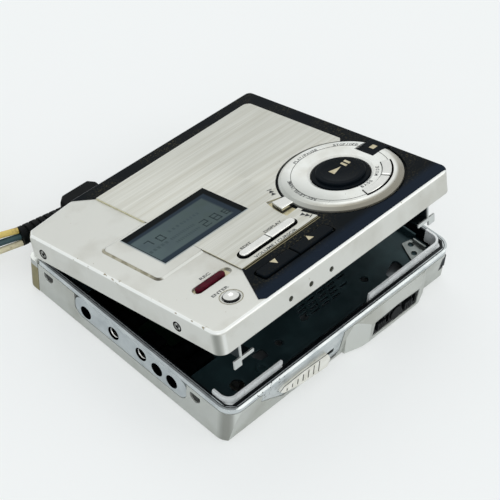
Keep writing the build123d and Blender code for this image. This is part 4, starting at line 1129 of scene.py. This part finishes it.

# %% [markdown]
# The lid's gaps, painted shade, lie round the edit and display keys, round the
# volume keys and between the two keys of each pair. One more runs along the two
# arc keys. The fine circle engraved on the dial is painted dark in the same way.

# %% Gaps of the lid
GAP_MM, KEY_GAP_MM = 0.32, 0.5
PILL_X, PILL_Y = (-18.8, 1.6), (-22.5, -19.5)
VOLUME_X, VOLUME_Y = (-21.8, 4.6), (-33.2, -28.9)
PILL_ROUND, VOLUME_ROUND = 1.95, 1.0
PILL_SPLIT_X, VOLUME_SPLIT_X = (-8.55, -8.15), (-9.15, -8.85)
BETWEEN_VOLUME_Z, BETWEEN_PILL_Z = 21.5, 21.68  # deep between two keys, under their tops
ARC_GAP = (14.2, 0.5, -108.0, -30.0)  # radius, width, first and last angle in degrees
CIRCLE = [(13.85, 0.12, -8.0, -30.0), (13.85, 0.12, 13.0, 252.0)]  # in two stretches


def grown(x, y, by):
    return bar((x[0] - by, x[1] + by), (y[0] - by, y[1] + by))


def gap_round(x, y, width, rounding):
    """A flat band just outside a key."""
    return raised_by_ink(rounded_edge(grown(x, y, width), rounding, width))


lid_gaps = [
    laid(gap_round(PILL_X, PILL_Y, KEY_GAP_MM, PILL_ROUND), PLATE_Z),
    laid(gap_round(VOLUME_X, VOLUME_Y, GAP_MM, VOLUME_ROUND), PANEL_Z),
    laid(shape(bar(VOLUME_SPLIT_X, VOLUME_Y)), BETWEEN_VOLUME_Z),
    laid(shape(bar(PILL_SPLIT_X, PILL_Y)), BETWEEN_PILL_Z),
    laid(arc_along(*ARC_GAP), RING_Z + 0.01),
]
lid_gaps += [laid(arc_along(*stretch), RING_Z) for stretch in CIRCLE]
piece_from(joined(lid_gaps), "lid_gaps", gap_shadow, "lid")
print("gaps", len(lid_gaps))

# %% [markdown]
# Where plate, paint and panel meet, the dirt is paler: a line in two stretches
# beside the display, and a double one along the panel's far edge. The far
# stretch fills the whole step between paint and plate, so it is a tall bar.

# %% Seams of the lid
SPLIT_X, SEAM_MM = -22.3, 0.2
NEAR_SPLIT_Y, FAR_SPLIT_Y = (-24.9, -10.4), (12.8, 33.3)  # before and behind the display
EDGE_X, EDGES_Y = (SPLIT_X + 0.4, 6.6), [(-25.25, -25.0), (-25.95, -25.72)]
far_seam = shape(bar((SPLIT_X - 1.3 * SEAM_MM, SPLIT_X), FAR_SPLIT_Y))
bmesh.ops.scale(far_seam, verts=far_seam.verts, vec=(1, 1, (PLATE_Z - PAINT_Z) / INK_MM))
laid(far_seam, (PLATE_Z + PAINT_Z) / 2 + INK_MM)
piece_from(far_seam, "far_seam", seam_cream, "lid")
seams = [laid(shape(bar((SPLIT_X - SEAM_MM / 2, SPLIT_X + SEAM_MM / 2), NEAR_SPLIT_Y)), PLATE_Z)]
seams += [laid(shape(bar(EDGE_X, edge)), PANEL_Z + 0.02) for edge in EDGES_Y]
piece_from(joined(seams), "lid_seams", seam_grime, "lid")
print("seams", len(seams))

# %% [markdown]
# The display stands on a low platform. Its left end slopes down to the paint,
# and that slope has yellowed and darkened, most at its near corner. The slope is
# a rectangle whose inset is raised, and it is cut off at the right.

# %% Platform slope
PLATFORM_X, PLATFORM_Y = (-37.85, -21.9), (-10.25, 12.45)
SLOPE_MM, SLOPE_ROUND, SLOPE_T = 0.75, 1.9, 0.06
AGED_X, AGED_Y = PLATFORM_X[0] + 0.6, PLATFORM_Y[0] + 1.8  # yellow left of one, dark before both


def platform_slope():
    outline = grown(PLATFORM_X, PLATFORM_Y, SLOPE_MM)
    mesh = rounded_edge(outline, SLOPE_ROUND, SLOPE_MM, PLATE_Z - PAINT_Z)
    cut_off(mesh, (SPLIT_X - SEAM_MM, 0, 0), (1, 0, 0))
    bmesh.ops.recalc_face_normals(mesh, faces=mesh.faces)
    bmesh.ops.solidify(mesh, geom=mesh.faces, thickness=SLOPE_T)
    return laid(mesh, PAINT_Z + 0.01)


def slope_paint():
    material, tree, shader = start("yellowed_slope_paint", "#C9C6B4", 0.4, Metallic=0.2)
    places = axes_of(tree, LID_REST)
    aged = tinted(tree, "#ABA691", "#858069", blotches(tree, 1.3, 0.4, 0.65))
    clean = tinted(tree, aged, "#DCDCD4", above(tree, places["X"], AGED_X, 1.0))
    near_left = below(tree, places["Y"], AGED_Y, 3.0), below(tree, places["X"], AGED_X, 1.0)
    dark = tinted(tree, clean, "#4B463A", all_of(tree, *near_left))
    coat(tree, shader, dark, None, (0.35, 0.02, 0.3))
    return material


piece_from(platform_slope(), "platform_slope", slope_paint(), "lid")
print("slope", SLOPE_MM, "mm wide")

# %% [markdown]
# The recording key and the skip lever slide in pockets, and their floors have
# yellowed to cream. The enter key sits in a collar of its own, with a fine
# brown line round it.

# %% Pockets and collar
REC_FLOOR, REC_FLOOR_Z = bar((-35.9, -24.2), (-23.3, -20.3)), 20.24
LEVER_FLOOR, LEVER_FLOOR_Z = (18.5, 4.2, 159.4, 181.8), 20.64  # radius, width and two angles
ENTER_AT = (-32.0, -30.9)
COLLAR = [(2.42, 20.25), (2.86, 20.25), (2.86, 21.0), (2.55, 21.0), (2.42, 20.85)]  # radius and height
COLLAR_LINE_R, COLLAR_LINE_MM = 3.0, 0.16
floors = [laid(shape(REC_FLOOR), REC_FLOOR_Z), laid(arc_along(*LEVER_FLOOR), LEVER_FLOOR_Z)]
piece_from(joined(floors), "pocket_floors", pocket_cream, "lid")
piece_from(laid(ring_of(COLLAR), 0, ENTER_AT), "enter_collar", lid_paint, "lid")
collar_line = laid(arc_along(COLLAR_LINE_R, COLLAR_LINE_MM, 0, 360, ENTER_AT), PAINT_Z)
piece_from(collar_line, "enter_line", seam_grime, "lid")
print("pockets", len(floors))

# %% [markdown]
# The display is off, but its segments still show as faint darker shapes. Each
# figure is seven bars about a middle, so a figure is a choice of bars. Rows of
# small plain cells stand for the level meter and the small characters.

# %% Display segments
SEGMENTS = {"0": "abcdef", "2": "abdeg", "3": "abcdg", "7": "abc", "8": "abcdefg"}
FIGURES = [  # figure, middle x and y, width, height
    ("7", -28.7, 3.9, 1.9, 2.9),
    ("0", -25.0, 3.2, 2.2, 3.0),
    ("2", -13.1, -1.8, 2.4, 3.5),
    ("8", -9.4, -2.0, 2.4, 3.5),
    ("8", -6.0, -2.4, 1.9, 2.6),
]
CELL_ROWS = [  # first x, last x, y, cells, width, height
    (-31.0, -25.5, 0.4, 5, 0.8, 1.1),
    (-23.6, -15.6, 0.4, 12, 0.42, 1.0),
    (-23.6, -15.6, -1.9, 12, 0.42, 1.0),
    (-16.0, -11.2, 3.5, 5, 0.6, 1.0),
    (-21.5, -17.0, 3.6, 4, 0.7, 1.0),
]
STROKE, BAR_GAP = 0.5, 0.07


def figure_bars(figure, x, y, width, height):
    """The bars of a seven-segment figure, each a filled outline."""
    w, h, s = width / 2, height / 2, STROKE
    spans = {
        "a": ((-w, w), (h - s, h)), "g": ((-w, w), (-s / 2, s / 2)), "d": ((-w, w), (-h, -h + s)),
        "b": ((w - s, w), (0, h)), "c": ((w - s, w), (-h, 0)),
        "f": ((-w, -w + s), (0, h)), "e": ((-w, -w + s), (-h, 0)),
    }
    bars = []
    for name in SEGMENTS[figure]:
        (x0, x1), (y0, y1) = spans[name]
        wide = (x + x0 + BAR_GAP, x + x1 - BAR_GAP)
        bars.append(shape(bar(wide, (y + y0 + BAR_GAP, y + y1 - BAR_GAP))))
    return bars


figures = [laid(mesh, WINDOW_Z) for row in FIGURES for mesh in figure_bars(*row)]
piece_from(joined(figures), "display_figures", segment_grey, "lid")
cells = []
for first, last, y, count, width, height in CELL_ROWS:
    for index in range(count):
        x = first + (last - first) * index / (count - 1)
        outline = bar((x - width / 2, x + width / 2), (y - height / 2, y + height / 2))
        cells.append(laid(shape(outline), WINDOW_Z))
piece_from(joined(cells), "display_cells", cell_grey, "lid")
print("bars", len(figures), "cells", len(cells))

# %% [markdown]
# The sockets are painted shade inside, near black. Two of them, for the remote
# control and for the optical lead, have a bright metal sleeve. A ring of painted
# shade hides the pale edge of the panel's hole, and each sleeve is a short turned tube.

# %% Sockets
SOCKETS = {  # y and z in the left wall
    "dc": (14.8, 7.2), "remote": (3.6, 8.0), "optical": (-7.3, 8.6),
    "mic": (-13.5, 7.7), "phones": (-19.2, 7.7),
}
SLEEVED = ("remote", "optical")
PANEL_X = -43.95  # just inside the panel's face
HOLE_SHADE = [(1.82, 0), (2.09, 0), (2.09, 0.88), (1.9, 0.88)]  # radius, and how far out of PANEL_X
SLEEVE = [(1.48, -2.4), (1.78, -2.4), (1.78, 0.3), (1.7, 0.4), (1.56, 0.34), (1.48, 0.2)]
OUT_OF_WALL = Matrix.Rotation(math.radians(-90), 4, "Y")  # turns a ring's axis from Z to -X


def in_wall(profile, x, y, z, opening=Matrix()):
    """A turned ring that looks out of the left wall."""
    return placed(ring_of(profile), Matrix.Translation((x, y, z)) @ OUT_OF_WALL, opening)


hole_shades = [in_wall(HOLE_SHADE, PANEL_X, *at) for at in SOCKETS.values()]
piece_from(joined(hole_shades), "socket_hole_shades", gap_shadow, "base")
sleeves = [in_wall(SLEEVE, PANEL_X, *SOCKETS[name]) for name in SLEEVED]
piece_from(joined(sleeves), "socket_sleeves", key_chrome, "base")
print("sockets", len(hole_shades), "with sleeves", len(sleeves))

# %% [markdown]
# Painted shade rings the lid's two side screws and fills their crosses. Each is a
# thin turned disc, and the sockets' helper, in_wall, stands it up against the lid's side.

# %% Painted shade round the side screws
SIDE_SCREWS, SIDE_X = [(31.0, 16.4), (-23.7, 16.6)], -45.0
# radius, and how far off the lid's side
RING_SHADE = [(1.16, 0), (1.5, 0), (1.5, 0.03), (1.16, 0.03)]
CROSS_SHADE = [(0.01, 0), (0.42, 0), (0.42, 0.03), (0.01, 0.03)]
shade_profiles = (RING_SHADE, CROSS_SHADE)
screw_shade = [in_wall(profile, SIDE_X, *at, lid_turn) for profile in shade_profiles for at in SIDE_SCREWS]
piece_from(joined(screw_shade), "screw_shade_rings", gap_shadow, "lid")
print("discs of painted shade", len(screw_shade))

# %% [markdown]
# The left wall has two half-round recesses, dark at the back. Each shadow is a
# disc, and a plane cuts it flat at the top.

# %% Shadows in the recesses
MOONS_Y, MOON_R, MOON_TOP = (30.2, -28.1), 1.84, 1.25
MOON_X, MOON_Z = -44.2, 9.5


def moon_fill(y):
    """A half-round disc of shadow at the back of a recess."""
    mesh = bmesh.new()
    bmesh.ops.create_circle(mesh, cap_ends=True, segments=32, radius=MOON_R)
    cut_off(mesh, (MOON_TOP, 0, 0), (1, 0, 0))
    return placed(raised_by_ink(mesh), Matrix.Translation((MOON_X, y, MOON_Z)) @ OUT_OF_WALL, Matrix())


piece_from(joined([moon_fill(y) for y in MOONS_Y]), "moon_shadows", gap_shadow, "base")
print("recesses", len(MOONS_Y))

# %% [markdown]
# A fine groove runs round the top of the rim, its shade painted dark. It is a rounded band like
# the gaps round the keys, drawn too long and cut off where the rear strip begins.

# %% Groove of the rim
RIM_TOP_Z, RIM_END_Y, GROOVE_MM, GROOVE_ROUND = 13.5, 33.6, 0.2, 3.85
GROOVE_X, GROOVE_Y = (-44.35, 44.35), (-40.25, 60)
groove = raised_by_ink(rounded_edge(bar(GROOVE_X, GROOVE_Y), GROOVE_ROUND, GROOVE_MM))
cut_off(groove, (0, RIM_END_Y, 0), (0, 1, 0))
placed(groove, Matrix.Translation((0, 0, RIM_TOP_Z - 0.01)), Matrix())
piece_from(groove, "rim_groove", gap_shadow, "base")
print("groove", GROOVE_MM, "mm wide")

# %% [markdown]
# The object stands on a plain pale sheet that catches its soft shadow. Light
# alone would leave the sheet grey, so the camera sees about half of it as plain
# pale.

# %% Floor
PALE = "#F3F5F4"
FLOOR_HALF = 1.2
SEEN_PLAIN = 0.55  # the camera sees this much of the floor as plain pale, the rest as lit


def shader_mix(tree, mask, first, second):
    """The first shader where the mask is 0, and the second where it is 1."""
    links = {0: mask, 1: first.outputs[0], 2: second.outputs[0]}
    return add(tree, "MixShader", links=links).outputs[0]


def floor_sheet():
    mesh = bmesh.new()
    bmesh.ops.create_grid(mesh, x_segments=1, y_segments=1, size=FLOOR_HALF)
    data = bpy.data.meshes.new("floor")
    mesh.to_mesh(data)
    mesh.free()
    sheet = in_scene("floor", data)
    material, tree, shader = start("pale_floor", PALE, 0.6, Specular_IOR_Level=0.2)
    plain = add(tree, "Emission", None, {"Color": linear("#F7F9F8"), "Strength": 1.0})
    seen = add(tree, "LightPath").outputs["Is Camera Ray"]
    part = add(tree, "Math", {"operation": "MULTIPLY"}, {1: SEEN_PLAIN}, {0: seen})
    both = shader_mix(tree, part.outputs[0], shader, plain)
    tree.links.new(both, tree.nodes["Material Output"].inputs["Surface"])
    data.materials.append(material)
    return sheet


floor = floor_sheet()
print("floor", len(floor.data.polygons), "face,", FLOOR_HALF * 2, "m")

# %% [markdown]
# The world shows a pale tone to the camera, in reflections and through glass,
# and gives the object a slightly bluer light at a level of its own. The kind of
# ray picks one or the other.

# %% World
WORLD_LIGHT = 0.92


def pale_world():
    world = bpy.data.worlds.new("world")
    world.use_nodes = True
    bpy.context.scene.world = world
    tree = world.node_tree
    tree.nodes.clear()
    lit = add(tree, "Background", None, {"Color": linear("#E6EAEE"), "Strength": WORLD_LIGHT})
    seen = add(tree, "Background", None, {"Color": linear(PALE), "Strength": 1.0})
    path = add(tree, "LightPath").outputs
    rays = [path[f"Is {kind} Ray"] for kind in ("Camera", "Glossy", "Transmission")]
    both = shader_mix(tree, any_of(tree, *rays), lit, seen)
    add(tree, "OutputWorld", links={"Surface": both})


pale_world()
print("world light", WORLD_LIGHT)

# %% [markdown]
# Three large area lamps make the soft shadow and the shine on the edges: a high
# one behind, a cool one at the left and a warm one in front at the right.

# %% Lamps
AIM = Vector((0, 0, 10)) * MM
LAMPS = [  # name, place, size, watts, colour
    ("key_lamp", (0.25, 0.55, 0.75), 0.5, 1.1, "#FFFFFF"),
    ("fill_lamp", (-0.65, -0.55, 0.45), 0.6, 1.2, "#FAFCFF"),
    ("front_lamp", (0.47, -0.66, 0.42), 0.5, 1.0, "#FFFDF8"),
]


def soft_lamp(name, place, size, watts, colour):
    """A square area lamp that faces the object."""
    data = bpy.data.lights.new(name, "AREA")
    data.size = size
    data.energy = watts
    data.color = linear(colour)[:3]
    lamp = in_scene(name, data)
    lamp.location = place
    lamp.rotation_euler = (AIM - Vector(place)).to_track_quat("-Z", "Y").to_euler()
    return lamp


lamps = [soft_lamp(*row) for row in LAMPS]
bpy.context.scene.view_settings.view_transform = "Standard"
print("lamps", [lamp.name for lamp in lamps])
